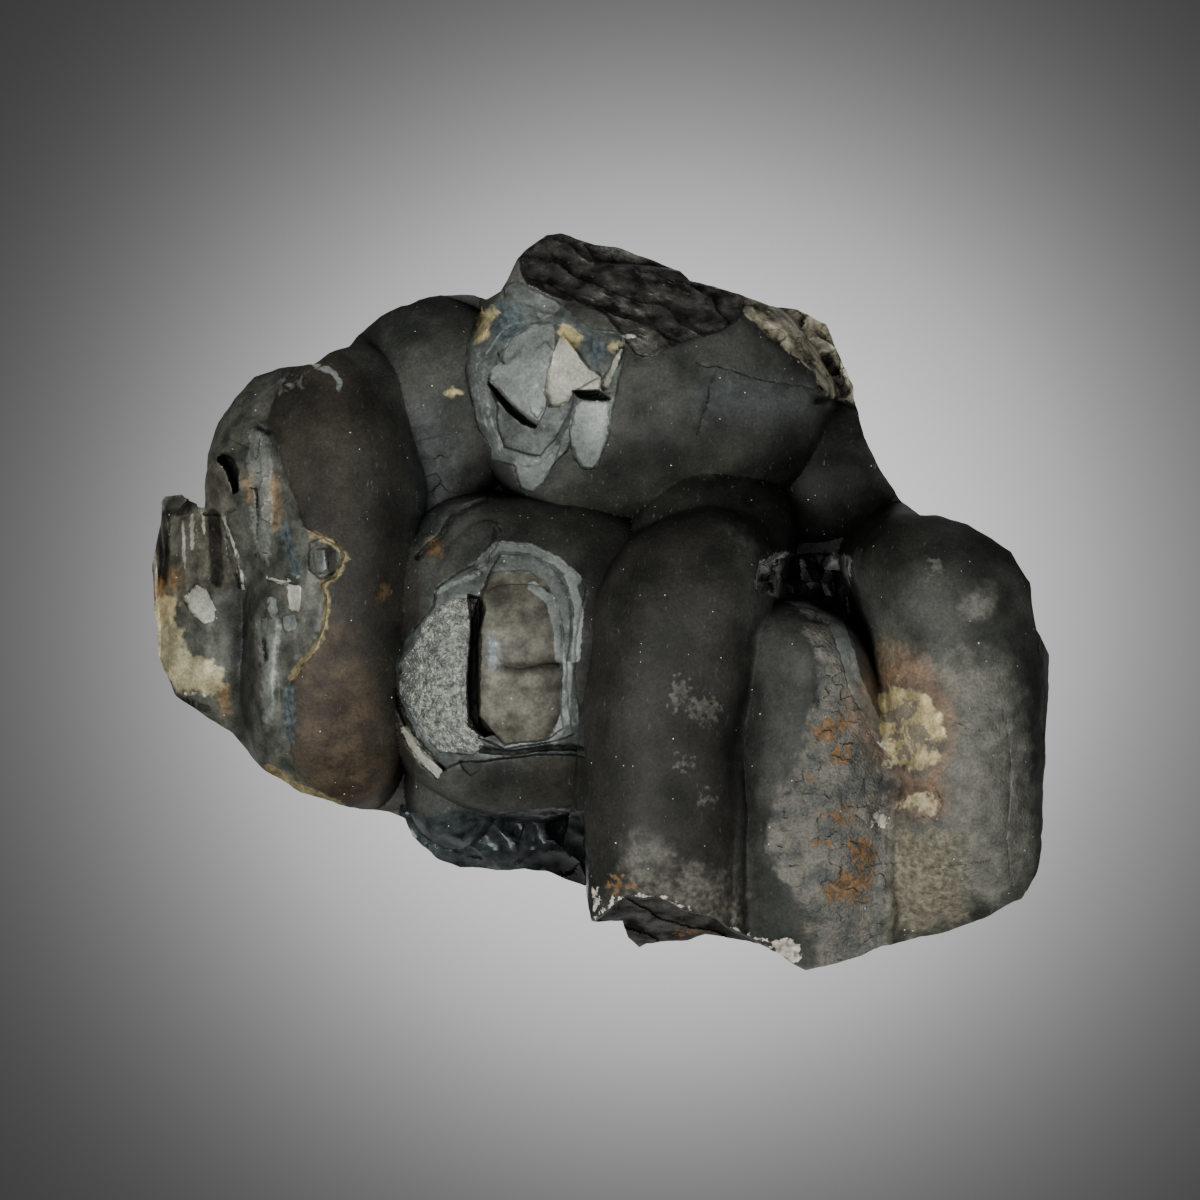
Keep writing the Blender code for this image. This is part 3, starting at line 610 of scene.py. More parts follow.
def eye_floor(x, y):
    """The eye's floor: a low pillow, its rise times the root of 1 - q with q a superellipse sum, and across
    it a crease that deepens towards +X and whose sides rise exponentially from its line."""
    u, v = np.abs((x - EYE_MIDDLE[0]) / EYE_REACH[0]), np.abs((y - EYE_MIDDLE[1]) / EYE_REACH[1])
    inner = np.clip(1 - u**EYE_SQUARE - v**EYE_SQUARE, 0, 1)
    away = np.abs(y - CREASE["y"] - CREASE["waver"] * np.sin(x)) / CREASE["width"]
    deeper = smoothstep(*CREASE["x"], x) * smoothstep(0, 0.3, inner)
    return EYE_RISE * np.sqrt(inner) - CREASE["depth"] * deeper * np.exp(-away * CREASE["steep"])


def skinless_relief(x, y):
    """What stands on the skinless side of the left lobe: soft flutes along it, a flaky ridge and a pale spine
    with a parabola as its section."""
    bare = within(x, y, SCARS["skinless side"]["outline"], 0.8)
    soft = 0.30 * layers(x, y * 0.2, size=1.9, seed=54, steps=3)
    soft = soft + 0.08 * layers(x, y * 0.5, size=0.9, seed=55, steps=3)
    flaky = within(x, y, FLAKY_RIDGE, 0.6) * (0.35 + 0.5 * facets(x, y * 0.7, size=1.1, seed=56, tilt=0.5))
    across = path_distance(x, y, PALE_SPINE, 3.0) / SPINE_HALF_WIDTH
    return bare * soft + flaky + SPINE_RISE * np.clip(1 - across**2, 0, 1) * smoothstep(*SPINE_ENDS, y)


def channel_relief(x, y):
    """The low lumps and ledges in the channel left of the upper scar."""
    lumps = 0.9 * layers(x, y, size=3.2, seed=57, steps=3) + 0.3 * facets(x, y, size=1.8, seed=58, tilt=0.4)
    return within(x, y, CHANNEL, 1.2) * lumps


def flute_relief(x, y):
    """The broken fibres at the far left: grooves side by side, with the size of a cosine as their section."""
    return -FLUTE_DEPTH * within(x, y, FLUTES, 0.8) * np.abs(np.cos(math.pi * (x + 0.08 * y) / FLUTE_PITCH))


def rough_relief(x, y):
    """The crumbly skin of the rough ridge and the fine grain of the silver skin in the eye."""
    crumbs = 0.60 * layers(x, y, size=3.0, seed=51, steps=5, fade=0.6)
    crumbs = crumbs + 0.24 * facets(x, y, size=1.2, seed=52, tilt=0.5)
    rough = within(x, y, SCARS["rim of the rough ridge"]["outline"], 0.6)
    silver = within(x, y, SCARS["silver skin"]["outline"], 0.3)
    return rough * crumbs + silver * 0.16 * mottle(x, y, size=0.55, seed=53)


def cut_cracks(height, x, y):
    """Cuts each crack as a V, following its line with a small waver."""
    ragged = wavered(x, y, CRACK_WAVER, size=1.8, seeds=(23, 33))
    for crack in CRACKS.values():
        away = path_distance(*ragged, crack["path"])
        height = height - crack["depth"] * np.clip(1 - away / crack["width"], 0, 1)
    return height


def top_height(x, y):
    """The height of the face with the lobes over a place, in millimetres."""
    height = sink_scars(break_faces(lobe_heights(x, y), x, y), x, y)
    for relief in (eye_floor, skinless_relief, channel_relief, flute_relief, rough_relief):
        height = height + relief(x, y)
    return cut_cracks(height, x, y)


def even_rim(count):
    """The rim as this many points, evenly spaced along it, with a fine waver."""
    corners = np.array(RIM + RIM[:1], float)
    run = np.concatenate([[0], np.cumsum(np.hypot(*np.diff(corners, axis=0).T))])
    along = np.arange(count) / count * run[-1]
    x, y = (np.interp(along, run, corners[:, axis]) for axis in (0, 1))
    return np.stack(wavered(x, y, RIM_WAVER, size=3.0, seeds=(24, 34)), 1)


def inner_curve(rim, spread, pull):
    """A smooth curve inside the rim: the rim averaged with a bell curve along it, pulled towards the
    middle."""
    count = len(rim)
    steps = np.arange(count)
    spacing = np.hypot(*(rim - np.roll(rim, 1, axis=0)).T).mean()
    bell = np.exp(-0.5 * (np.minimum(steps, count - steps) * spacing / spread) ** 2)
    bell = np.fft.rfft(bell / bell.sum())
    smooth = np.stack([np.fft.irfft(np.fft.rfft(rim[:, axis]) * bell, count) for axis in (0, 1)], 1)
    out = np.hypot(*smooth.T)[:, None]
    return smooth * (1 - pull / out)


def wall_points(rim, level, down):
    """The broken walls: the rim's outline, drawn in towards the foot, and hollowed square to the rim in
    plates that lie flat. Level is the height of each point and down its share of the way to the foot."""
    drawn_in = np.interp(level, WALL_LEVELS, WALL_DRAWN_IN)
    along = np.roll(rim, -WALL_SPAN, axis=0) - np.roll(rim, WALL_SPAN, axis=0)
    outwards = np.stack([-along[:, 1], along[:, 0]], 1)
    outwards /= np.hypot(*outwards.T)[:, None]
    steps = np.hypot(*(rim - np.roll(rim, 1, axis=0)).T)
    run = np.cumsum(steps)[None] * np.ones_like(level)
    plates = facets(run / 1.6, level, size=2.4, seed=81, tilt=0.5)
    plates = plates + 0.6 * facets(run, level * 1.3, size=1.1, seed=82, tilt=0.4)
    hollow = WALL_HOLLOW + WALL_HOLLOW * layers(run / 2.0, level, size=6.0, seed=83) + 0.5 * plates
    hollow = np.maximum(hollow, 0.0) * smoothstep(0, 0.10, down) * smoothstep(0, 0.8, level)
    shape = rim[None] * drawn_in[..., None] - outwards[None] * hollow[..., None]
    return np.concatenate([shape, level[..., None]], -1)


def specimen_points(around, core_rings, band_rings, wall_rings, base_rings):
    """The whole closed surface as a grid: one parameter goes round, the other from the top's middle out over
    the lobes to the rim, down the walls and in under the flat base. The first and last rows are single
    points."""
    rim = even_rim(around)
    inner = inner_curve(rim, INNER_SPREAD, INNER_PULL)
    core = (np.arange(1, core_rings + 1) / core_rings)[:, None, None] * inner[None]
    share = (np.arange(1, band_rings + 1) / band_rings)[:, None, None]
    plan = np.concatenate([core, inner[None] + share * (rim - inner)[None]])
    top = np.concatenate([plan, top_height(plan[..., 0], plan[..., 1])[..., None]], -1)
    down = (np.arange(1, wall_rings + 1) / wall_rings)[:, None]
    walls = wall_points(rim, top[-1, :, 2][None] * (1 - down), down)
    inwards = (1 - np.arange(1, base_rings) / base_rings)[:, None, None]
    base = np.concatenate([inwards * walls[-1][None, :, :2], np.zeros((base_rings - 1, around, 1))], -1)
    middle = top_height(np.zeros(1), np.zeros(1))[0]
    rows = np.concatenate([top, walls, base]).reshape(-1, 3)
    return np.concatenate([[[0, 0, middle]], rows, [[0, 0, 0]]])


def grid_faces(around, rows):
    """Quads between the rows of the grid, which close round it, and triangles to the two single points."""
    here = np.arange(around)
    after = (here + 1) % around
    starts = 1 + np.arange(rows - 1)[:, None] * around
    quads = np.stack([starts + here, starts + after, starts + after + around, starts + here + around], -1)
    last = 1 + rows * around
    low_row = last - around
    caps = np.concatenate([
        np.stack([np.zeros(around, int), after + 1, here + 1], -1),
        np.stack([np.full(around, last), low_row + here, low_row + after], -1),
    ])
    return quads.reshape(-1, 4), caps


def mesh_from(name, points, quads, triangles):
    """A mesh from whole arrays: corner by corner, quads first."""
    mesh = bpy.data.meshes.new(name)
    corners = np.concatenate([quads.ravel(), triangles.ravel()]).astype(np.int32)
    sizes = np.concatenate([np.full(len(quads), 4), np.full(len(triangles), 3)])
    mesh.vertices.add(len(points))
    mesh.vertices.foreach_set("co", (points * MM).astype(np.float32).ravel())
    mesh.loops.add(len(corners))
    mesh.loops.foreach_set("vertex_index", corners)
    mesh.polygons.add(len(sizes))
    mesh.polygons.foreach_set("loop_start", (np.cumsum(sizes) - sizes).astype(np.int32))
    mesh.update(calc_edges=True)
    return mesh


def thinned(thing, triangles):
    """The object's mesh with fewer triangles, which stay small only where the surface bends."""
    thing.data.calc_loop_triangles()
    fewer = thing.modifiers.new("thin out", "DECIMATE")
    fewer.ratio = min(1.0, triangles / len(thing.data.loop_triangles))
    fewer.use_collapse_triangulate = True
    graph = bpy.context.evaluated_depsgraph_get()
    mesh = bpy.data.meshes.new_from_object(thing.evaluated_get(graph), depsgraph=graph)
    thing.modifiers.clear()
    return mesh


def tone(values):
    """The surface colour that shows as this tone, each value from 0 to 255, in the stage's light."""
    return tuple(TONE_SHARE * (value / 255) ** 2.2 for value in values) + (1.0,)


def colour_setting(name, description, values):
    """A colour that the user can change, given as the tone it shows as."""
    return bpy.props.FloatVectorProperty(
        name=name, description=description, default=tone(values), subtype="COLOR", size=4, min=0, max=1,
    )


class SurfaceSettings(bpy.types.PropertyGroup):
    """How finely the specimen's surface is made."""

    around: bpy.props.IntProperty(
        name="Points around", description="Points along the rim", default=1200, min=64,
    )
    rings: bpy.props.IntProperty(
        name="Rings", description="Rings from the middle nearly to the rim", default=250, min=16,
    )
    triangles: bpy.props.IntProperty(
        name="Triangles", description="Triangles after thinning out", default=188000, min=1000,
    )
    sharp: bpy.props.FloatProperty(
        name="Sharp edges", description="Edges that bend more than this stay sharp", default=math.radians(38),
        subtype="ANGLE", unit="ROTATION",
    )


class FinishSettings(bpy.types.PropertyGroup):
    """The colours of the specimen's finish, how worn and dusty it is, and how strongly its sharp edges get a
    painted highlight.
    """

    patina_dark: colour_setting("Dark patina", "Darker tone of the patina on the lobes", (42, 44, 40))
    patina_pale: colour_setting("Pale patina", "Paler tone of the patina on the lobes", (68, 69, 64))
    gold: colour_setting("Gold film", "Paler tone of the golden film", (202, 188, 140))
    rust: colour_setting("Rust", "Paler tone of the rust", (112, 86, 58))
    crust: colour_setting("White crust", "Paler tone of the crust along the foot", (190, 184, 168))
    # Colour of rubbed edges, which also paints a highlight on every sharp edge.
    edge: colour_setting("Worn edges", "Colour where edges are rubbed bare", (160, 160, 150))
    dust: colour_setting("Dust", "Colour of the specks of dust", (196, 192, 178))
    # How pale sharp edges are painted, partly as wear and partly as a painted highlight.
    wear_and_highlight: bpy.props.FloatProperty(
        name="Wear", description="How much the edges are rubbed", default=0.45, min=0, max=1,
        subtype="FACTOR",
    )
    dust_share: bpy.props.FloatProperty(
        name="Amount of dust", description="Share of the places that have a speck", default=0.2, min=0, max=1,
        subtype="FACTOR",
    )


class StageSettings(bpy.types.PropertyGroup):
    """The floor, the lights and the camera."""

    key: bpy.props.FloatProperty(
        name="Key light", description="Power of the stronger light", default=15.5, unit="POWER",
    )
    fill: bpy.props.FloatProperty(
        name="Fill light", description="Power of the weaker light", default=4.0, unit="POWER",
    )
    surroundings: bpy.props.FloatProperty(
        name="Surroundings", description="Strength of the light from all round", default=0.12, min=0,
    )
    floor: bpy.props.FloatProperty(
        name="Floor", description="Side of the square floor", default=1.2, subtype="DISTANCE", unit="LENGTH",
    )
    height: bpy.props.FloatProperty(
        name="Camera height", description="Height of the camera over the floor", default=2.025,
        subtype="DISTANCE", unit="LENGTH",
    )


class SPECIMEN_OT_surface(bpy.types.Operator):
    """Make the specimen's surface with its finish, in place of the plain solid"""

    bl_idname = "specimen.surface"
    bl_label = "Specimen surface"

    def execute(self, context):
        settings = context.scene.specimen_surface
        share = 1.0
        around = int(settings.around * share)
        rings = [int(count * share) for count in (settings.rings, BAND_RINGS, WALL_RINGS)] + [BASE_RINGS]
        points = specimen_points(around, *rings)
        mesh = mesh_from("coronadite_surface", points, *grid_faces(around, sum(rings) - 1))
        piece = bpy.data.objects.new("coronadite_surface", mesh)
        context.scene.collection.objects.link(piece)
        piece.data = thinned(piece, settings.triangles * share)
        piece.data.name = "coronadite_surface"
        piece.data.shade_smooth()
        piece.data.set_sharp_from_angle(angle=settings.sharp)
        under = under_top(piece.data)
        mark_finishes(piece.data, under)
        mark_hollows(piece.data, under)
        mark_edges(piece.data)
        piece.data.materials.append(finish_material(context.scene.specimen_finish))
        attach(piece, "root")
        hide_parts("coronadite")
        return {"FINISHED"}


def oval(x, y, across, along, turn=0):
    """An ellipse's outline: its middle, its half axes and its turn in degrees."""
    angle = np.linspace(0, 2 * math.pi, 20, endpoint=False)
    u, v = across * np.cos(angle), along * np.sin(angle)
    c, s = math.cos(math.radians(turn)), math.sin(math.radians(turn))
    return np.stack([x + c * u - s * v, y + s * u + c * v], 1)


# The sizes of the lumps in which two tones mottle each other, and of the grain, in millimetres.
LUMPS = {"coarse": 6.0, "middle": 2.0, "fine": 0.7}
GRAIN = 0.3

# The patina that covers the lobes: its lumps, its least and most roughness, how metallic it is, and the depth
# of its grain in millimetres.
PATINA = dict(lumps="coarse", rough=(0.52, 0.72), metal=0.0, grain=0.035)

# What lies over the patina, from the bottom coat to the top one: two tones, their lumps, roughness, how
# metallic, how far the edge frays, in which lumps, over how much it fades, how well it covers, the depth of
# its grain, and where it is, as outlines or names of scars and breaks, and as strips with a path and a width.
# A finish with a colour setting takes it as its paler tone and DARKER times it as the other. One with a level
# keeps off steep ground, one that shrinks lies that far inside its outlines, and one on the walls keeps off
# the lobes.
DARKER = 0.42
USUAL_FINISH = dict(
    lumps="middle", metal=0.0, covers=0.9, grain=PATINA["grain"], areas=(), strips=(), shrinks=0, level=0,
    on_walls=False,
)
FINISHES = {
    "brown skin": dict(
        tones=((41, 39, 35), (56, 53, 46)), lumps="coarse", rough=0.55, frays=0.15, fades=0.3,
        areas=[
            SKIN_LINE + [
                (-19, -22), (-17.9, -10), (-18, 5), (-18.8, 13), (-20.8, 18.8), (-24, 23.4), (-27, 25.6),
            ],
        ],
    ),
    # Painted sheen: a soft bluish highlight on the upper lobe and on the wall of the channel left of the
    # upper scar.
    "blue sheen": dict(
        tones=((54, 59, 60), (78, 83, 84)), rough=0.6, frays=0.8, fades=4, covers=0.5,
        areas=[
            oval(16.6, 18.6, 7, 3.6, -15),
            [(-19, 18.6), (-16.8, 19), (-14.6, 14.2), (-15.4, 11), (-18, 4.2), (-19.4, 2), (-19.6, 9.5)],
        ],
    ),
    "brown bloom": dict(
        tones=((48, 41, 33), (74, 64, 51)), rough=0.52, frays=1.2, fades=5, covers=0.75,
        areas=[
            [
                (-30.5, -7), (-26.5, -2), (-23.5, -5), (-21.5, -13), (-22.5, -20), (-26, -20.6), (-29.5, -19),
                (-30.5, -12),
            ],
            oval(-4.2, -18, 2, 0.9),
        ],
    ),
    "column skin": dict(
        tones=((33, 33, 30), (50, 49, 45)), lumps="coarse", rough=0.62, frays=1.5, fades=3,
        areas=[
            [
                (-2, 4), (3, 9.5), (12, 10), (15, 3), (14.8, -8), (15, -18), (15.5, -24), (15.5, -35),
                (8, -32), (2, -30), (-2, -32), (-2.6, -15),
            ],
        ],
    ),
    # Painted shade: darker patina where the lobes turn from the light, on the eye lobe's top and foot, the
    # left lobe's right flank, the upper lobe's lower slope and beside the saddle.
    "dark patina": dict(
        tones=((26, 26, 23), (44, 44, 39)), lumps="coarse", rough=0.55, frays=1, fades=4, covers=0.85,
        areas=[
            [(-12.5, 10.2), (2, 9.5), (3, 5.5), (0, 3.6), (-4, 5.2), (-10, 7)],
            [(-24.5, 24), (-18.5, 18), (-18, -10), (-21, -12), (-24, 8)],
            [(-13, -16.8), (-3, -16.2), (-2.2, -20.2), (-14, -20.2)],
            [
                (0, 15.2), (4, 16.8), (10, 18.2), (16, 18.2), (20, 18), (23, 20), (27, 16), (20, 8), (8, 6),
                (-4, 9),
            ],
            [(24.5, 6), (29, 9), (32.5, 8), (31, 2), (27, 0)],
        ],
    ),
    # Painted shadow: near-black colour over the saddle behind the right lobes, where there is only shade.
    "black hollow": dict(
        tones=((10, 10, 8), (26, 26, 22)), rough=0.6, frays=1, fades=2.5, covers=0.95,
        areas=[[(8, 12), (14, 13.5), (20, 15.5), (26, 15), (30.5, 9), (28, 5.5), (24, 3), (17, 4), (12, 9)]],
    ),
    "skinless side": dict(
        tones=((54, 56, 51), (86, 87, 79)), rough=0.42, metal=0.15, frays=0.1, fades=0.2, covers=0.95,
        grain=0.01, areas=["skinless side"],
    ),
    "dark hollow": dict(
        tones=((32, 33, 30), (48, 49, 45)), rough=0.45, metal=0.1, frays=0.5, fades=1.6, covers=0.85,
        areas=[[(-37.8, 0), (-34.8, 0), (-34.5, -13.8), (-36.8, -12.5), (-37.6, -6)]],
    ),
    "grey bloom": dict(
        tones=((84, 84, 78), (110, 109, 101)), rough=0.58, metal=0.05, frays=1.3, fades=3.6, covers=0.8,
        grain=0.12,
        areas=[
            [(29.5, -7), (34, -5), (40, -6), (42.5, -14), (43, -27), (36, -31), (29, -33), (29.5, -20)],
            oval(37.4, -0.2, 1.6, 1), oval(4.3, -25.2, 1.8, 1.6), oval(10, -28.7, 1.6, 1.6),
        ],
    ),
    "foot bloom": dict(
        tones=((54, 52, 47), (94, 91, 83)), lumps="fine", rough=0.6, frays=2, fades=3, covers=0.7, grain=0.05,
        areas=[[(2, -26.5), (13, -27), (15, -33), (2, -30)]],
    ),
    "pale spine": dict(
        tones=((92, 95, 89), (122, 125, 118)), rough=0.42, metal=0.2, frays=0.3, fades=0.5, covers=0.85,
        areas=[
            [(-34.4, -1.8), (-32, -1.8), (-32.3, -6.2), (-32.7, -12.3), (-33.7, -12.3), (-33.9, -6.3)],
            FLAKY_RIDGE,
        ],
    ),
    "yellowish bloom": dict(
        tones=((84, 80, 66), (118, 113, 95)), lumps="fine", rough=0.5, metal=0.1, frays=1.3, fades=3.2,
        covers=0.75, grain=0.1,
        areas=[[(28.6, -23), (36, -23), (36.5, -31.5), (28.5, -33.5)], oval(28.7, -6.5, 1.6, 2.4)],
    ),
    "rubbed spots": dict(
        tones=((74, 74, 68), (110, 109, 101)), lumps="fine", rough=0.6, frays=1.3, frayed_by="fine",
        fades=0.8, covers=0.4,
        areas=[
            oval(8.1, -9.4, 0.9, 1.3), oval(10.5, -11, 1.5, 1.1), oval(8.5, -16.2, 0.5, 0.6),
            oval(10.6, -19.8, 0.6, 0.5), oval(36.5, -8, 1.4, 0.8), oval(-31, 21.5, 1.2, 0.4, 30),
            oval(33.5, 3.5, 0.7, 0.5),
        ],
    ),
    "dark break": dict(
        tones=((34, 33, 30), (86, 85, 80)), rough=0.42, metal=0.2, frays=0.3, fades=0.3, covers=1, grain=0.08,
        areas=["top", "foot of the column"],
    ),
    # The cavity's crystal blocks, painted much paler than their own tone as painted glints of light inside
    # the shaded cavity.
    "cavity blocks": dict(
        tones=((74, 76, 72), (196, 200, 194)), rough=0.35, metal=0.2, frays=0.3, fades=0.3, covers=1,
        grain=0.02, areas=["cavity"],
    ),
    "corner break": dict(
        tones=((74, 71, 59), (206, 199, 174)), rough=0.55, metal=0.2, frays=0.3, fades=0.3, covers=1,
        grain=0.05, areas=["top corner"],
    ),
    "glassy break": dict(
        tones=((34, 38, 39), (72, 78, 78)), rough=0.3, metal=0.35, frays=0.3, fades=0.3, covers=1, grain=0.01,
        areas=["foot of the eye lobe"],
    ),
    "rough ridge": dict(
        tones=((76, 78, 75), (106, 103, 94)), rough=0.6, metal=0.05, frays=0.9, fades=1.2, grain=0.22,
        areas=["rim of the rough ridge"],
    ),
    "left flutes": dict(
        tones=((70, 69, 61), (112, 110, 98)), rough=0.38, metal=0.35, frays=0.4, fades=0.6,
        areas=["flutes", [(-39.5, 13.5), (-37.6, 13.5), (-36.9, 9.2), (-39.2, 9)]],
    ),
    # A dark tone on the knob at the far left, and painted shade in strips along the grooves between the
    # flutes and along cracks and slots.
    "dark flutes": dict(
        tones=((18, 18, 16), (38, 37, 33)), rough=0.5, metal=0.2, frays=0.15, fades=0.4,
        areas=[[(-45.4, 8.8), (-44.8, 11.4), (-41, 11.4), (-40.9, 8.6), (-42.4, 8.4)]],
        strips=[
            ([(-43.7, 8.6), (-43.8, 1.6)], 1.1), ([(-38.7, 8.5), (-38.3, 2)], 1.4),
            ([(-42.6, -9.9), (-39.4, -10.9)], 0.9), ([(-26.8, 5.5), (-26.6, 2.6)], 0.9),
            ([(-33.5, -4), (-33.3, -5.8)], 0.5), ([(-34.2, 17.2), (-33, 16.6)], 0.6),
            ([(22.6, 24.4), (23.8, 22.6), (24.6, 20.9)], 1.2),
        ],
    ),
    "cream green": dict(
        tones=((122, 117, 90), (166, 160, 128)), rough=0.42, metal=0.15, frays=0.4, fades=0.8, covers=0.95,
        areas=[
            [
                (-45, -1.8), (-43, -1.6), (-42, -3), (-41.5, -5.6), (-39, -6), (-37.7, -7), (-37.6, -9),
                (-39.5, -9.4), (-42.8, -9), (-45, -5.8),
            ],
        ],
    ),
    "tan edges": dict(
        tones=((96, 87, 62), (146, 134, 100)), rough=0.45, metal=0.3, frays=0.2, fades=0.35, covers=0.85,
        strips=[
            ([
                (-29, 6.7), (-26.5, 5.7), (-25.3, 4.2), (-26.2, 2.4), (-27.7, 1.6), (-27.2, 0.2),
                (-27.4, -2.3), (-28, -4.3), (-29.7, -6.1), (-30.8, -7.8),
            ], 0.5),
            ([(-33.2, -16.8), (-30, -18.9), (-26, -20.6)], 0.9),
        ],
    ),
    "under skin": dict(
        tones=((56, 60, 58), (82, 87, 84)), rough=0.45, metal=0.2, frays=0.1, fades=0.15, grain=0.01,
        areas=["eye scar"],
    ),
    "fresh grey": dict(
        tones=((72, 76, 73), (102, 107, 102)), rough=0.45, metal=0.25, frays=0.1, fades=0.15, grain=0.008,
        areas=["upper scar", "first ring", "nodule"],
    ),
    # Painted shade: near black in the slots and in the strip under the eye, where their walls lie in shade.
    "dark steps": dict(
        tones=((18, 18, 16), (32, 32, 28)), rough=0.6, metal=0.2, frays=0.1, fades=0.3, covers=1,
        areas=["left slot", "right slot", "eye slot", "strip under the eye"],
    ),
    "eye floor": dict(
        tones=((62, 60, 53), (98, 95, 84)), rough=0.5, metal=0.2, frays=0.15, fades=0.3, grain=0.006,
        areas=["second ring"],
    ),
    "pale shell": dict(
        tones=((100, 105, 101), (130, 136, 131)), lumps="coarse", rough=0.45, metal=0.15, frays=0.12,
        fades=0.15, covers=0.95, grain=0.006,
        areas=[
            "grey facet", "right tongue", "left tongue", "pale facet", "low facet",
            [(22.7, -1.9), (24.5, -2), (24.3, -4)],
        ],
        strips=[
            ([(-28.6, 23.3), (-27, 23), (-26, 21.9), (-26, 20.9)], 0.55), ([(-32, 22.5), (-31, 21.2)], 0.5),
            ([(-6.7, 1.4), (-5, 0), (-4.2, -2.5), (-4, -5.8)], 1),
            ([(-16.2, 0.8), (-14.6, 1.7), (-12.8, 2.2), (-11.4, 3.2)], 0.5),
            ([(-2.9, 2.2), (-2.1, -1), (-2.4, -5.8)], 0.9), ([(-3.2, -6.6), (-3.5, -11.5), (-4.6, -14)], 0.9),
            ([(-12, 3.6), (-10.2, 5.4), (-7, 5.2), (-4.4, 3.9), (-2.2, 2.1)], 0.9),
            ([(23.6, -2.6), (24.6, -5.4), (25.4, -8.4), (27, -11.8), (28.4, -14.4)], 1.5),
        ],
    ),
    "silver skin": dict(
        tones=((96, 98, 93), (134, 137, 129)), lumps="fine", rough=0.34, metal=0.45, frays=0.1, fades=0.1,
        covers=1, grain=0.3, areas=["silver skin"],
    ),
    # Pale fresh facets of the break, and in its strips painted highlights along the crests of the flutes and
    # chipped edges on the left.
    "bright break": dict(
        tones=((146, 147, 134), (182, 182, 166)), lumps="coarse", rough=0.4, metal=0.2, frays=0.1, fades=0.12,
        covers=0.95, grain=0.03,
        areas=[
            "bright facet", "bevel", "bevel left of the eye", "chip on the left shelf", "cream facet",
            oval(2.9, 26.3, 0.7, 0.25),
        ],
        strips=[
            ([(-41.8, 8.5), (-41.7, 3.2)], 0.3), ([(-40.9, 8.4), (-40.9, 5.2)], 0.45),
            ([(-39.8, 8.6), (-39.7, 6.7)], 0.3), ([(-37.8, 8.6), (-36, 3.5), (-35.7, 1)], 0.3),
            ([(-33.2, 2.3), (-31.8, 1.7), (-30, 2.3)], 0.3), ([(-42.6, -9.1), (-39.6, -9.6)], 0.45),
        ],
    ),
    "blue film": dict(
        tones=((60, 70, 80), (96, 108, 108)), lumps="fine", rough=0.36, metal=0.3, frays=0.3, fades=1,
        covers=0.7,
        areas=[
            [(-10.8, 29.6), (-8, 29.8), (-7.4, 27.6), (-9, 25.4), (-10.9, 26.4)],
            [(-1.6, 26.4), (0.5, 25.8), (0.3, 23.6), (-0.8, 23.4)],
        ],
        strips=[
            ([(-31.6, 7.4), (-30.2, 2.8)], 0.9), ([(-31, -8.8), (-31, -13.8)], 0.9),
            ([(-10.9, -4), (-10.6, -6.2)], 1.2),
        ],
    ),
    "brown halo": dict(
        tones=((84, 68, 52), (112, 88, 68)), rough=0.5, frays=0.9, fades=3.6, covers=0.55,
        areas=[oval(30, -10.8, 5, 6, 20), oval(31.8, -19.6, 3, 2.4)],
    ),
    "red halo": dict(
        tones=((106, 83, 66), (130, 103, 80)), rough=0.5, frays=0.5, fades=1.8, covers=0.5,
        strips=[
            ([
                (28.4, -7.6), (30.8, -6.8), (33, -8.6), (34.9, -11.6), (34.8, -14.6), (33.2, -17.2),
                (32.6, -19),
            ], 0.9),
            ([(30, -17.4), (31.6, -18.4), (33.8, -20.6)], 0.7),
        ],
    ),
    "gold film": dict(
        setting="gold", rough=0.4, metal=0.3, frays=0.7, frayed_by="middle", fades=0.5,
        areas=[
            [
                (27.8, -9.6), (29.4, -8.4), (31.6, -8.8), (33.6, -10.8), (34.3, -13.4), (33.4, -16),
                (31.4, -17.2), (29.4, -16.4), (28, -13.4),
            ],
            [(-12.9, 26.2), (-12.2, 28.2), (-10.9, 29.6), (-10.2, 28.6), (-11.2, 27), (-12, 25.4)],
            [(-4.4, 27.2), (-2.9, 27.4), (-1.9, 25.6), (-2.6, 24.8), (-3.6, 26.2)],
            [(0.4, 26), (1.8, 25.6), (1.2, 24.2), (0.3, 24.8)], oval(-14.7, 20.4, 0.6, 0.35),
            oval(-43.6, -1, 1.3, 1.4),
        ],
    ),
    "cream film": dict(
        tones=((128, 119, 92), (172, 162, 130)), lumps="fine", rough=0.45, metal=0.1, frays=0.5, fades=0.5,
        covers=0.8,
        areas=[
            [(29.6, -20.6), (30.8, -19.2), (32.6, -19.2), (33.8, -20.8), (33.4, -21.4), (31.6, -20.6)],
            oval(28.9, -16.2, 0.7, 0.35),
        ],
    ),
    "grey in the gold": dict(
        tones=((84, 80, 76), (104, 98, 90)), rough=0.45, metal=0.1, frays=0.7, frayed_by="fine", fades=0.25,
        covers=0.85,
        areas=[
            oval(30, -11.2, 1.9, 0.9, 30), oval(31.6, -13.4, 1.3, 1, -40), oval(29.4, -13.6, 0.8, 0.5),
            oval(33, -14.6, 0.8, 0.5, 60), oval(30.4, -15.4, 1.1, 0.5, 10),
        ],
    ),
    "orange stain": dict(
        tones=((106, 80, 52), (152, 116, 70)), rough=0.5, frays=0.5, fades=1.6, covers=0.7,
        areas=[
            oval(-42.7, 1.9, 0.55, 1.2), oval(-44.2, 1, 0.6, 0.9), oval(-16.6, 5.1, 0.5, 0.7),
            oval(-21.5, 0.7, 0.2, 0.4),
        ],
        strips=[
            ([(-37.8, -8.8), (-37.6, -11)], 0.5), ([(-35.1, 12.2), (-34.9, 10.2)], 0.4),
            ([(-32.6, 12), (-32.4, 7.5)], 0.4),
        ],
    ),
    "rust": dict(
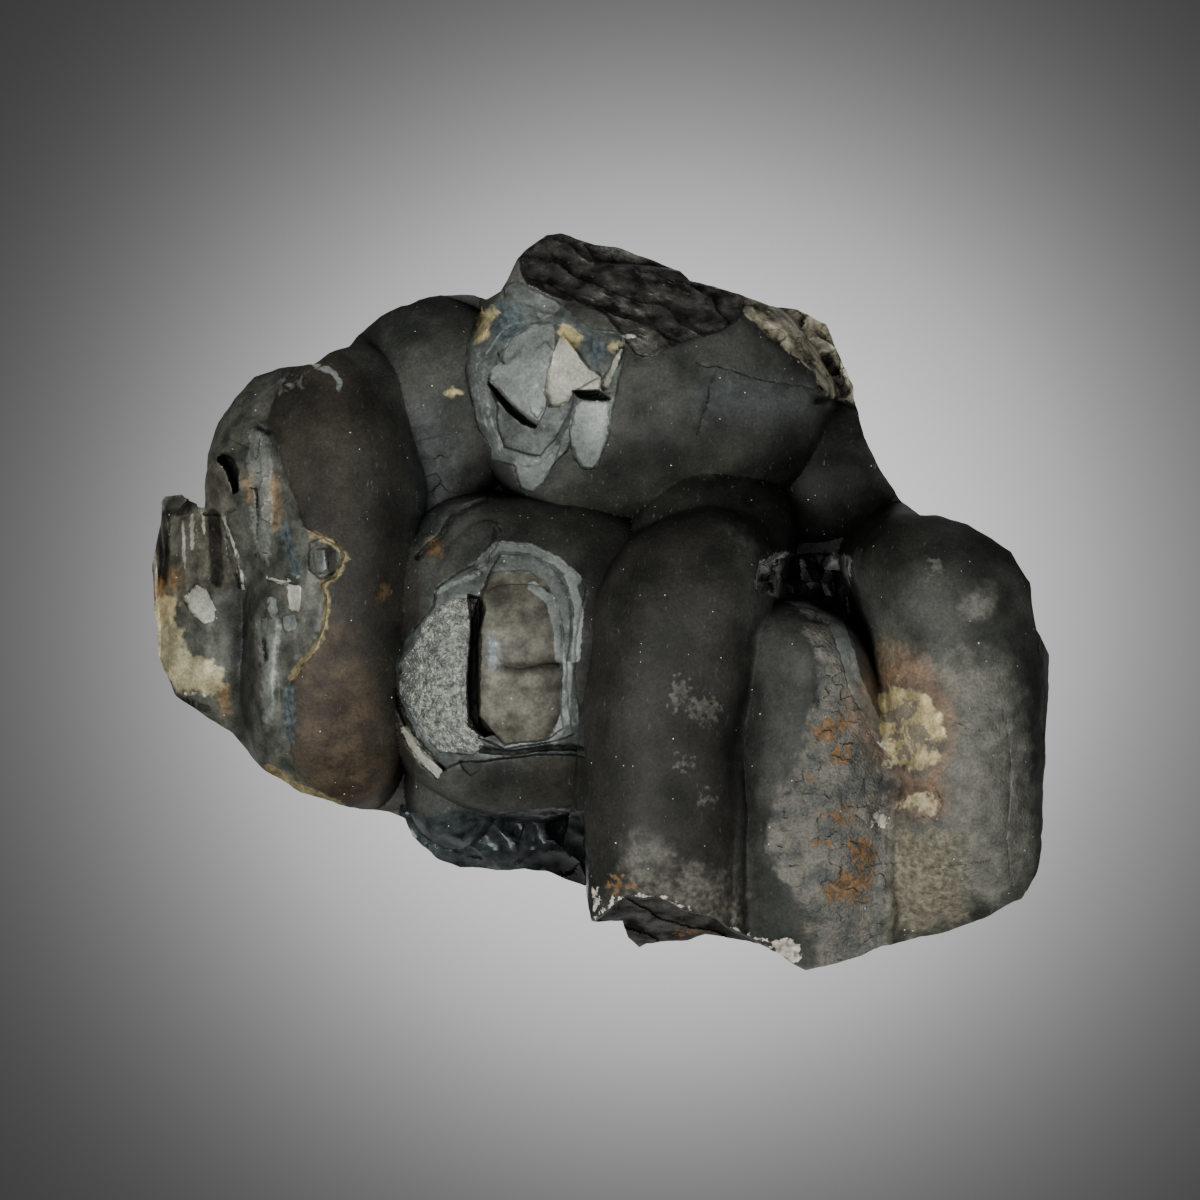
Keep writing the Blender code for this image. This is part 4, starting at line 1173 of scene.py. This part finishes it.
        setting="rust", lumps="fine", rough=0.8, frays=1.5, frayed_by="fine", shrinks=0.7, fades=0.7,
        covers=0.8, grain=0.06,
        areas=[
            oval(22.9, -12.8, 2.6, 1.5, 20), oval(24, -15.2, 1.6, 1.4), oval(20.7, -17.8, 0.9, 0.6),
            oval(24, -21.4, 2, 1.2, 30), oval(26, -25.2, 2, 1.7, -30), oval(24.6, -28.6, 3.2, 2, 20),
            oval(21.8, -24.2, 1.4, 0.8), oval(20.5, 25.9, 1, 0.8), oval(2, -28.3, 1.8, 1.2),
            oval(9, -33.2, 2, 0.7),
        ],
    ),
    "broken wall": dict(
        on_walls=True, tones=((40, 37, 32), (96, 91, 80)), lumps="coarse", rough=0.6, metal=0.05, frays=1.2,
        fades=1.5, covers=0.95, grain=0.08,
    ),
    "white crust": dict(
        level=6, setting="crust", lumps="fine", rough=0.85, frays=0.5, fades=0.15, covers=0.85, grain=0.08,
        areas=[oval(18.4, -35, 1.6, 1.3), oval(28.3, -14.4, 0.35, 0.3), oval(27.8, -21.8, 1, 0.7)],
        strips=[
            ([
                (-1.2, -31.8), (0.4, -30.6), (1.6, -29.8), (4, -29.4), (5.8, -29.6), (7.1, -30.1), (8.9, -31),
                (11, -31.8), (13.1, -32.7), (15.1, -33.7), (16.6, -34.2),
            ], 0.4),
            ([(-0.6, -28.6), (-0.6, -32.2)], 0.8),
        ],
    ),
}

# A finish whose edge frays further than this frays in middle lumps, and another one in fine lumps.
FINE_FRAYS = 0.8

# How far under the lobes' face a point still counts as on it, how quickly the walls' finish comes in under
# that face and how far down it starts, and the upright part of the normal under which a face counts as steep.
FACE_SLACK = 1.0
WALL_GAIN = 1.5
WALL_MARGIN = 2.8
LEVEL_ABOVE = 0.6

# How often the sharpness of edges is averaged, and what is added to a length so that none is 0.
EDGE_PASSES = 2
LEAST_LENGTH = 1e-6

# The grid on which hollows are found and how many of its steps lie outside the rim, the reach of the mean
# height, the height taken outside the rim, and how far under the lobes' face there are none.
HOLLOW_GRID = 0.4
HOLLOW_BORDER = 6
HOLLOW_REACH = 4.5
HOLLOW_OUTSIDE = 14.0
HOLLOW_UNDER = 2

# How sharp an edge is where it starts to be rubbed pale and where it is palest, partly wear and partly a
# painted highlight on every sharp edge, the same for grooves, which bend the other way and are painted darker
# as shade, and how much and to which tone grooves darken.
WORN_AND_HIGHLIT_EDGES = (0.14, 0.45)
SHADED_GROOVES = (-0.2, -0.6)
GROOVE_SHADE_SHARE = 0.35
GROOVE_SHADE_TONE = (16, 16, 15)

# Painted shade in hollows: the depths between which a hollow is painted darker and what share of the colour
# is left at the bottom, and how the grain and the fine lumps speckle the colour: each noise times a factor,
# with a number added to the second.
HOLLOW_SHADE_DEPTHS = (0.5, 7.0)
HOLLOW_SHADE = 0.11
GRAIN_SPECKLE = 1.1
FINE_SPECKLE = (0.7, 0.1)

# How much the noise is spread about its middle where it frays an edge, and the two values of it between which
# two tones mix.
NOISE_GAIN = 4.0
MOTTLE_NOISE = (0.36, 0.64)

# Scuffs: their size in millimetres, how well they cover and their tone, how the noise is turned and drawn
# out, its values, and the limits between which it shows.
SCUFF_SIZE = 1.6
SCUFF_SHARE = 0.36
SCUFF_TONE = (112, 112, 104)
SCUFF_TURN = 0.5
SCUFF_STRETCH = (5.0, 1.4, 2.0)
SCUFF_NOISE = {"Detail": 6.0, "Roughness": 0.62, "Distortion": 0.4}
SCUFF_LIMITS = (0.63, 0.72)

# Specks of dust: the size of their cells in millimetres, their least and greatest radius as shares of it, how
# far their outline wavers and how broadly, in millimetres, and how rough they are.
SPECK_SIZE = 0.8
SPECK_RADII = (0.03, 0.10)
SPECK_WAVER = 0.2
SPECK_WAVER_SIZE = 0.4
DUST_ROUGH = 0.8

# The finish's plain reflection, which is weak as the skin is matt.
SPECULAR = 0.12


def finishes():
    """Each finish by its name, with the usual values for what it leaves out."""
    return {name: {**USUAL_FINISH, **finish} for name, finish in FINISHES.items()}


def areas_of(finish):
    """The outlines of a finish, with those of the scars and breaks that it names."""
    known = {**SCARS, **BREAKS, "flutes": {"outline": FLUTES}}
    return [known[area]["outline"] if isinstance(area, str) else area for area in finish["areas"]]


def point_vectors(mesh, name):
    """The place or the normal of each point of a mesh, as rows of three numbers."""
    values = np.empty(len(mesh.vertices) * 3, np.float32)
    mesh.vertices.foreach_get(name, values)
    return values.reshape(-1, 3)


def coordinates(mesh):
    """The mesh's points in millimetres, as three arrays."""
    return (point_vectors(mesh, "co") / MM).T.astype(float)


def store(mesh, name, values):
    """Stores a number for each point of a mesh, where the finish reads it."""
    mark = mesh.attributes.new(name, "FLOAT", "POINT")
    mark.data.foreach_set("value", values.astype(np.float32))


def under_top(mesh):
    """How far each point lies under the face with the lobes, in millimetres; 0 on that face itself."""
    x, y, z = coordinates(mesh)
    return np.maximum(top_height(x, y) - z - FACE_SLACK, 0)


def mark_finishes(mesh, under):
    """Stores each finish's place on the mesh: how far each point is inside it, in millimetres. On the walls
    the finishes of the lobes end within a few millimetres; one that keeps to level ground ends where it gets
    steep."""
    x, y, _ = coordinates(mesh)
    steep = np.maximum(LEVEL_ABOVE - point_vectors(mesh, "normal")[:, 2], 0)
    for name, finish in finishes().items():
        margin = finish["fades"] + finish["frays"] + 1
        reach = np.full(x.shape, -margin, float)
        for outline in areas_of(finish):
            reach = np.maximum(reach, inside_distance(x, y, outline, margin))
        for path, width in finish["strips"]:
            reach = np.maximum(reach, width / 2 - path_distance(x, y, path, margin + width))
        reach = WALL_GAIN * under - WALL_MARGIN if finish["on_walls"] else reach - under
        store(mesh, name, reach - finish["shrinks"] - finish["level"] * steep)


def mark_edges(mesh):
    """Stores how sharply the surface stands out at each point: the mean height of a point over its
    neighbours, along its normal and per millimetre of distance, then averaged with the neighbours' own."""
    places = np.stack(coordinates(mesh), 1)
    normals = point_vectors(mesh, "normal")
    count = len(places)
    pairs = np.empty(len(mesh.edges) * 2, np.int32)
    mesh.edges.foreach_get("vertices", pairs)
    here, there = pairs.reshape(-1, 2).T
    across = places[there] - places[here]
    length = np.linalg.norm(across, axis=1) + LEAST_LENGTH
    totals = np.bincount(here, minlength=count) + np.bincount(there, minlength=count)
    lean_here = -(across * normals[here]).sum(1) / length
    lean_there = (across * normals[there]).sum(1) / length
    bend = (np.bincount(here, lean_here, count) + np.bincount(there, lean_there, count)) / totals
    for _ in range(EDGE_PASSES):
        around = np.bincount(here, bend[there], count) + np.bincount(there, bend[here], count)
        bend = 0.5 * bend + 0.5 * around / totals
    store(mesh, "edge", bend)


def mark_hollows(mesh, under):
    """Stores how far each point of the lobes' face lies under the mean height around it, in millimetres,
    which the finish turns into painted shade: the heights on a square grid, averaged with a bell curve, less
    the point's own. The walls have 0."""
    x, y, z = coordinates(mesh)
    border = HOLLOW_BORDER * HOLLOW_GRID
    low, high = np.array(RIM).min(0) - border, np.array(RIM).max(0) + border
    across, along = np.arange(low[0], high[0], HOLLOW_GRID), np.arange(low[1], high[1], HOLLOW_GRID)
    grid = np.meshgrid(across, along)
    heights = np.where(inside_distance(*grid, RIM) > 0, top_height(*grid), HOLLOW_OUTSIDE)
    waves = [np.fft.fftfreq(count, HOLLOW_GRID) for count in heights.shape]
    bell = np.exp(-2 * (math.pi * HOLLOW_REACH) ** 2 * (waves[0][:, None] ** 2 + waves[1][None] ** 2))
    mean = np.fft.ifft2(np.fft.fft2(heights) * bell).real
    column = np.clip(((x - across[0]) / HOLLOW_GRID).round().astype(int), 0, len(across) - 1)
    row = np.clip(((y - along[0]) / HOLLOW_GRID).round().astype(int), 0, len(along) - 1)
    store(mesh, "hollow", np.where(under > HOLLOW_UNDER, 0, mean[row, column] - z))


def put(tree, kind, inputs=None, **settings):
    """Adds a node with these settings, and fills each named input with a value or a link."""
    node = tree.nodes.new(kind)
    for name, value in settings.items():
        setattr(node, name, value)
    for name, value in (inputs or {}).items():
        if isinstance(value, bpy.types.NodeSocket):
            tree.links.new(value, node.inputs[name])
        else:
            node.inputs[name].default_value = value
    return node


def sums(tree, operation, *values):
    """A Math node on two or three values or links; gives its output."""
    return put(tree, "ShaderNodeMath", dict(enumerate(values)), operation=operation).outputs[0]


def ranged(tree, value, start, end, low=0.0, high=1.0, **settings):
    """A number that goes from low to high while the value goes from start to end."""
    inputs = {"Value": value, "From Min": start, "From Max": end, "To Min": low, "To Max": high}
    return put(tree, "ShaderNodeMapRange", inputs, **settings).outputs["Result"]


def blend_numbers(tree, mask, below, above):
    """Mixes two numbers by a mask."""
    return put(tree, "ShaderNodeMix", {"Factor": mask, 2: below, 3: above}).outputs[0]


def blend_colours(tree, mask, below, above):
    """Mixes two colours by a mask."""
    return put(tree, "ShaderNodeMix", {"Factor": mask, 6: below, 7: above}, data_type="RGBA").outputs[2]


def noise_of_size(tree, size, detail):
    """Noise from 0 to 1 whose lumps are about this many millimetres across."""
    place = put(tree, "ShaderNodeTexCoord").outputs["Object"]
    inputs = {"Vector": place, "Scale": 1 / MM / size, "Detail": detail}
    return put(tree, "ShaderNodeTexNoise", inputs).outputs["Fac"]


def new_group(name, numbers, result, colours=()):
    """A shader node group that takes colours and numbers and gives one result, a number, or a colour where it
    takes colours; gives the group, its input sockets by title and the socket that takes the result."""
    group = bpy.data.node_groups.new(name, "ShaderNodeTree")
    for title in colours:
        group.interface.new_socket(title, in_out="INPUT", socket_type="NodeSocketColor")
    for title in numbers:
        group.interface.new_socket(title, in_out="INPUT", socket_type="NodeSocketFloat")
    kind = "NodeSocketColor" if colours else "NodeSocketFloat"
    group.interface.new_socket(result, in_out="OUTPUT", socket_type=kind)
    given = group.nodes.new("NodeGroupInput").outputs
    return group, given, group.nodes.new("NodeGroupOutput").inputs[result]


def use_group(tree, group, inputs):
    """Places a group in a material with its values; gives its output."""
    return put(tree, "ShaderNodeGroup", inputs, node_tree=group).outputs[0]


def ragged_edge_group():
    """Ragged edge: turns a distance inside an area into a mask whose edge frays with noise."""
    group, given, result = new_group("Ragged edge", ("Distance", "Noise", "Frays", "Fades", "Covers"), "Mask")
    fray = sums(group, "MULTIPLY", sums(group, "SUBTRACT", given["Noise"], 0.5), NOISE_GAIN)
    distance = sums(group, "MULTIPLY_ADD", fray, given["Frays"], given["Distance"])
    start = sums(group, "MULTIPLY", given["Fades"], -0.5)
    end = sums(group, "MULTIPLY", given["Fades"], 0.5)
    mask = ranged(group, distance, start, end, high=given["Covers"], interpolation_type="SMOOTHSTEP")
    group.links.new(mask, result)
    return group


def mottle_group():
    """Mottle: mixes two colours where the noise goes from low to high."""
    group, given, result = new_group("Mottle", ("Noise",), "Colour", colours=("First", "Second"))
    share = ranged(group, given["Noise"], *MOTTLE_NOISE)
    group.links.new(blend_colours(group, share, given["First"], given["Second"]), result)
    return group


def specks_group():
    """Specks: small spots with a wavering outline in a random share of the cells of a size in millimetres."""
    group, given, result = new_group("Specks", ("Size", "Share"), "Mask")
    place = put(group, "ShaderNodeTexCoord").outputs["Object"]
    noise = put(group, "ShaderNodeTexNoise", {"Vector": place, "Scale": 1 / MM / SPECK_WAVER_SIZE})
    far = (SPECK_WAVER * MM,) * 3
    inputs = {0: noise.outputs["Color"], 1: far, 2: place}
    waver = put(group, "ShaderNodeVectorMath", inputs, operation="MULTIPLY_ADD").outputs[0]
    scale = sums(group, "DIVIDE", 1 / MM, given["Size"])
    cells = put(group, "ShaderNodeTexVoronoi", {"Vector": waver, "Scale": scale}).outputs
    chance = put(group, "ShaderNodeSeparateColor", {"Color": cells["Color"]}).outputs
    chosen = sums(group, "LESS_THAN", chance["Red"], given["Share"])
    least, most = SPECK_RADII
    radius = sums(group, "MULTIPLY_ADD", chance["Green"], most - least, least)
    spot = sums(group, "LESS_THAN", cells["Distance"], radius)
    group.links.new(sums(group, "MULTIPLY", chosen, spot), result)
    return group


def scuffs_group():
    """Scuffs: short fine scratches that lie mostly along the lobes, where drawn-out noise rises over a
    limit."""
    group, given, result = new_group("Scuffs", ("Size", "Share"), "Mask")
    place = put(group, "ShaderNodeTexCoord").outputs["Object"]
    inputs = {"Vector": place, "Rotation": (0, 0, SCUFF_TURN), "Scale": SCUFF_STRETCH}
    turned = put(group, "ShaderNodeMapping", inputs).outputs["Vector"]
    scale = sums(group, "DIVIDE", 1 / MM, given["Size"])
    noise = put(group, "ShaderNodeTexNoise", {"Vector": turned, "Scale": scale, **SCUFF_NOISE}).outputs["Fac"]
    group.links.new(ranged(group, noise, *SCUFF_LIMITS, high=given["Share"]), result)
    return group


def tones_of(finish, settings):
    """The two tones of a finish, from its list or from its colour setting."""
    if "setting" not in finish:
        return [tone(values) for values in finish["tones"]]
    pale = getattr(settings, finish["setting"])
    return [tuple(DARKER * value for value in pale[:3]) + (1.0,), tuple(pale)]


def laid_finishes(tree, settings, lumps):
    """The patina and each further finish over it by its mask: their colour, roughness and metallic, and how
    deep their grain is."""
    ragged, mottled = ragged_edge_group(), mottle_group()

    def mottle_of(size, first, second):
        return use_group(tree, mottled, {"First": first, "Second": second, "Noise": lumps[size]})

    colour = mottle_of(PATINA["lumps"], tuple(settings.patina_dark), tuple(settings.patina_pale))
    smoothest, roughest = PATINA["rough"]
    rough = sums(tree, "MULTIPLY_ADD", lumps["middle"], roughest - smoothest, smoothest)
    metal, depth = PATINA["metal"], PATINA["grain"]
    for name, finish in finishes().items():
        distance = put(tree, "ShaderNodeAttribute", attribute_name=name).outputs["Fac"]
        size = finish.get("frayed_by", "middle" if finish["frays"] > FINE_FRAYS else "fine")
        mask = use_group(tree, ragged, {
            "Distance": distance, "Noise": lumps[size], "Frays": finish["frays"], "Fades": finish["fades"],
            "Covers": finish["covers"],
        })
        colour = blend_colours(tree, mask, colour, mottle_of(finish["lumps"], *tones_of(finish, settings)))
        rough = blend_numbers(tree, mask, rough, finish["rough"])
        metal = blend_numbers(tree, mask, metal, finish["metal"])
        depth = blend_numbers(tree, mask, depth, finish["grain"])
    return colour, rough, metal, depth


def worn_highlit_and_shaded(tree, settings, colour, fine, grain):
    """The colour rubbed pale along edges, partly as a painted highlight, with painted shade along grooves and
    in hollows, and speckled.
    """
    edge = put(tree, "ShaderNodeAttribute", attribute_name="edge").outputs["Fac"]
    worn_and_highlit = ranged(tree, edge, *WORN_AND_HIGHLIT_EDGES, high=settings.wear_and_highlight)
    groove_shade = ranged(tree, edge, *SHADED_GROOVES, high=GROOVE_SHADE_SHARE)
    colour = blend_colours(tree, worn_and_highlit, colour, tuple(settings.edge))
    colour = blend_colours(tree, groove_shade, colour, tone(GROOVE_SHADE_TONE))
    hollow = put(tree, "ShaderNodeAttribute", attribute_name="hollow").outputs["Fac"]
    shade = ranged(tree, hollow, *HOLLOW_SHADE_DEPTHS, low=1.0, high=HOLLOW_SHADE)
    speckle = sums(tree, "MULTIPLY_ADD", fine, *FINE_SPECKLE)
    speckle = sums(tree, "MULTIPLY_ADD", grain, GRAIN_SPECKLE, speckle)
    inputs = {0: colour, "Scale": sums(tree, "MULTIPLY", shade, speckle)}
    return put(tree, "ShaderNodeVectorMath", inputs, operation="SCALE").outputs[0]


def scuffed_and_dusty(tree, settings, colour, rough):
    """The colour and the roughness with fine scuffs and specks of dust on them."""
    scuffed = use_group(tree, scuffs_group(), {"Size": SCUFF_SIZE, "Share": SCUFF_SHARE})
    colour = blend_colours(tree, scuffed, colour, tone(SCUFF_TONE))
    dust = use_group(tree, specks_group(), {"Size": SPECK_SIZE, "Share": settings.dust_share})
    colour = blend_colours(tree, dust, colour, tuple(settings.dust))
    return colour, blend_numbers(tree, dust, rough, DUST_ROUGH)


def finish_material(settings):
    """The specimen's finish: the finishes over each other, paler edges, darker hollows, scuffs and dust."""
    material = bpy.data.materials.new("coronadite finish")
    material.use_nodes = True
    tree = material.node_tree
    shader = tree.nodes["Principled BSDF"]
    lumps = {name: noise_of_size(tree, size, detail=5.0) for name, size in LUMPS.items()}
    grain = noise_of_size(tree, GRAIN, detail=2.0)
    colour, rough, metal, depth = laid_finishes(tree, settings, lumps)
    colour = worn_highlit_and_shaded(tree, settings, colour, lumps["fine"], grain)
    colour, rough = scuffed_and_dusty(tree, settings, colour, rough)
    height = sums(tree, "MULTIPLY", grain, depth)
    bump = put(tree, "ShaderNodeBump", {"Height": height, "Distance": MM})
    shader.inputs["Specular IOR Level"].default_value = SPECULAR
    tree.links.new(colour, shader.inputs["Base Color"])
    tree.links.new(rough, shader.inputs["Roughness"])
    tree.links.new(metal, shader.inputs["Metallic"])
    tree.links.new(bump.outputs["Normal"], shader.inputs["Normal"])
    return material


# How brightly the floor glows at each distance in metres from its middle, as a painted pool of light, where
# that middle is, and the dark colour that it has under its own glow.
FLOOR_GLOW_TONES = [
    (0, 1.08), (0.028, 0.93), (0.044, 0.42), (0.056, 0.195), (0.068, 0.09), (0.08, 0.036), (0.092, 0.014),
    (0.12, 0.005),
]
FLOOR_MIDDLE = (0.006, -0.002)
FLOOR_BASE = (0.02, 0.02, 0.02, 1)

# Where the two square lights are and how long their sides are, the point they shine at, the camera's focal
# length and sensor in millimetres, and how far it sees in metres.
KEY_LIGHT = dict(place=(-0.33, -0.24, 0.90), size=0.5)
FILL_LIGHT = dict(place=(0.50, -0.10, 0.80), size=0.6)
LIT_POINT = (0, 0, 0.02)
LENS = 600
SENSOR = 36
SIGHT = 20


def glowing_floor_material():
    """A floor that glows as a painted pool of light, pale in the middle and falling off into dark all round.
    """
    material = bpy.data.materials.new("floor")
    material.use_nodes = True
    tree = material.node_tree
    shader = tree.nodes["Principled BSDF"]
    reach = FLOOR_GLOW_TONES[-1][0]
    place = put(tree, "ShaderNodeTexCoord").outputs["Object"]
    away = put(tree, "ShaderNodeVectorMath", {0: place, 1: (*FLOOR_MIDDLE, 0)}, operation="DISTANCE")
    ramp = put(tree, "ShaderNodeValToRGB", {"Fac": sums(tree, "DIVIDE", away.outputs["Value"], reach)})
    ramp.color_ramp.interpolation = "B_SPLINE"
    stops = ramp.color_ramp.elements
    for radius, _ in FLOOR_GLOW_TONES[1:-1]:
        stops.new(radius / reach)
    for stop, (radius, bright) in zip(stops, FLOOR_GLOW_TONES):
        stop.position = radius / reach
        stop.color = (bright, bright, bright, 1)
    tree.links.new(ramp.outputs["Color"], shader.inputs["Emission Color"])
    shader.inputs["Emission Strength"].default_value = 1.0
    shader.inputs["Base Color"].default_value = FLOOR_BASE
    shader.inputs["Roughness"].default_value = 1.0
    shader.inputs["Specular IOR Level"].default_value = 0.0
    return material


def add_light(name, power, place, size):
    """A square soft light that shines at the specimen."""
    light = bpy.data.lights.new(name, "AREA")
    light.energy = power
    light.size = size
    thing = bpy.data.objects.new(name, light)
    thing.location = place
    aim = Vector(LIT_POINT) - thing.location
    thing.rotation_euler = aim.to_track_quat("-Z", "Y").to_euler()
    bpy.context.scene.collection.objects.link(thing)


def add_camera(height):
    """A camera that looks straight down from this height over the middle of the specimen."""
    camera = bpy.data.cameras.new("camera")
    camera.lens = LENS
    camera.sensor_width = SENSOR
    camera.clip_end = SIGHT
    eye = bpy.data.objects.new("camera", camera)
    eye.location = (0, 0, height)
    bpy.context.scene.collection.objects.link(eye)
    bpy.context.scene.camera = eye


class SPECIMEN_OT_stage(bpy.types.Operator):
    """Make the floor, the lights and the camera that looks down on the specimen"""

    bl_idname = "specimen.stage"
    bl_label = "Stage"

    def execute(self, context):
        settings = context.scene.specimen_stage
        half = settings.floor / 2
        corners = [(-half, -half, 0), (half, -half, 0), (half, half, 0), (-half, half, 0)]
        mesh = bpy.data.meshes.new("floor")
        mesh.from_pydata(corners, [], [(0, 1, 2, 3)])
        mesh.materials.append(glowing_floor_material())
        floor = bpy.data.objects.new("floor", mesh)
        context.scene.collection.objects.link(floor)
        add_light("key", settings.key, **KEY_LIGHT)
        add_light("fill", settings.fill, **FILL_LIGHT)
        world = bpy.data.worlds.new("studio")
        world.use_nodes = True
        world.node_tree.nodes["Background"].inputs["Color"].default_value = (1, 1, 1, 1)
        world.node_tree.nodes["Background"].inputs["Strength"].default_value = settings.surroundings
        context.scene.world = world
        add_camera(settings.height)
        return {"FINISHED"}


class SPECIMEN_PT_panel(bpy.types.Panel):
    """Lists the operators and the settings"""

    bl_idname = "SPECIMEN_PT_panel"
    bl_label = "Specimen"
    bl_space_type = "VIEW_3D"
    bl_region_type = "UI"
    bl_category = "Specimen"

    def draw(self, context):
        scene = context.scene
        shown = (
            (SPECIMEN_OT_surface, (scene.specimen_surface, scene.specimen_finish)),
            (SPECIMEN_OT_stage, (scene.specimen_stage,)),
        )
        for operator, groups in shown:
            self.layout.operator(operator.bl_idname)
            for settings in groups:
                for name in settings.bl_rna.properties.keys():
                    if name not in ("name", "rna_type"):
                        self.layout.prop(settings, name)


CLASSES = (
    SurfaceSettings, FinishSettings, StageSettings, SPECIMEN_OT_surface, SPECIMEN_OT_stage, SPECIMEN_PT_panel,
)


def register():
    """Adds the classes and their settings to Blender."""
    for item in CLASSES:
        bpy.utils.register_class(item)
    bpy.types.Scene.specimen_surface = bpy.props.PointerProperty(type=SurfaceSettings)
    bpy.types.Scene.specimen_finish = bpy.props.PointerProperty(type=FinishSettings)
    bpy.types.Scene.specimen_stage = bpy.props.PointerProperty(type=StageSettings)


def unregister():
    """Takes them away again."""
    del bpy.types.Scene.specimen_stage
    del bpy.types.Scene.specimen_finish
    del bpy.types.Scene.specimen_surface
    for item in reversed(CLASSES):
        bpy.utils.unregister_class(item)


def main():
    """Makes the specimen and its stage."""
    register()
    bpy.ops.specimen.surface()
    bpy.ops.specimen.stage()


if __name__ == "__main__":
    main()
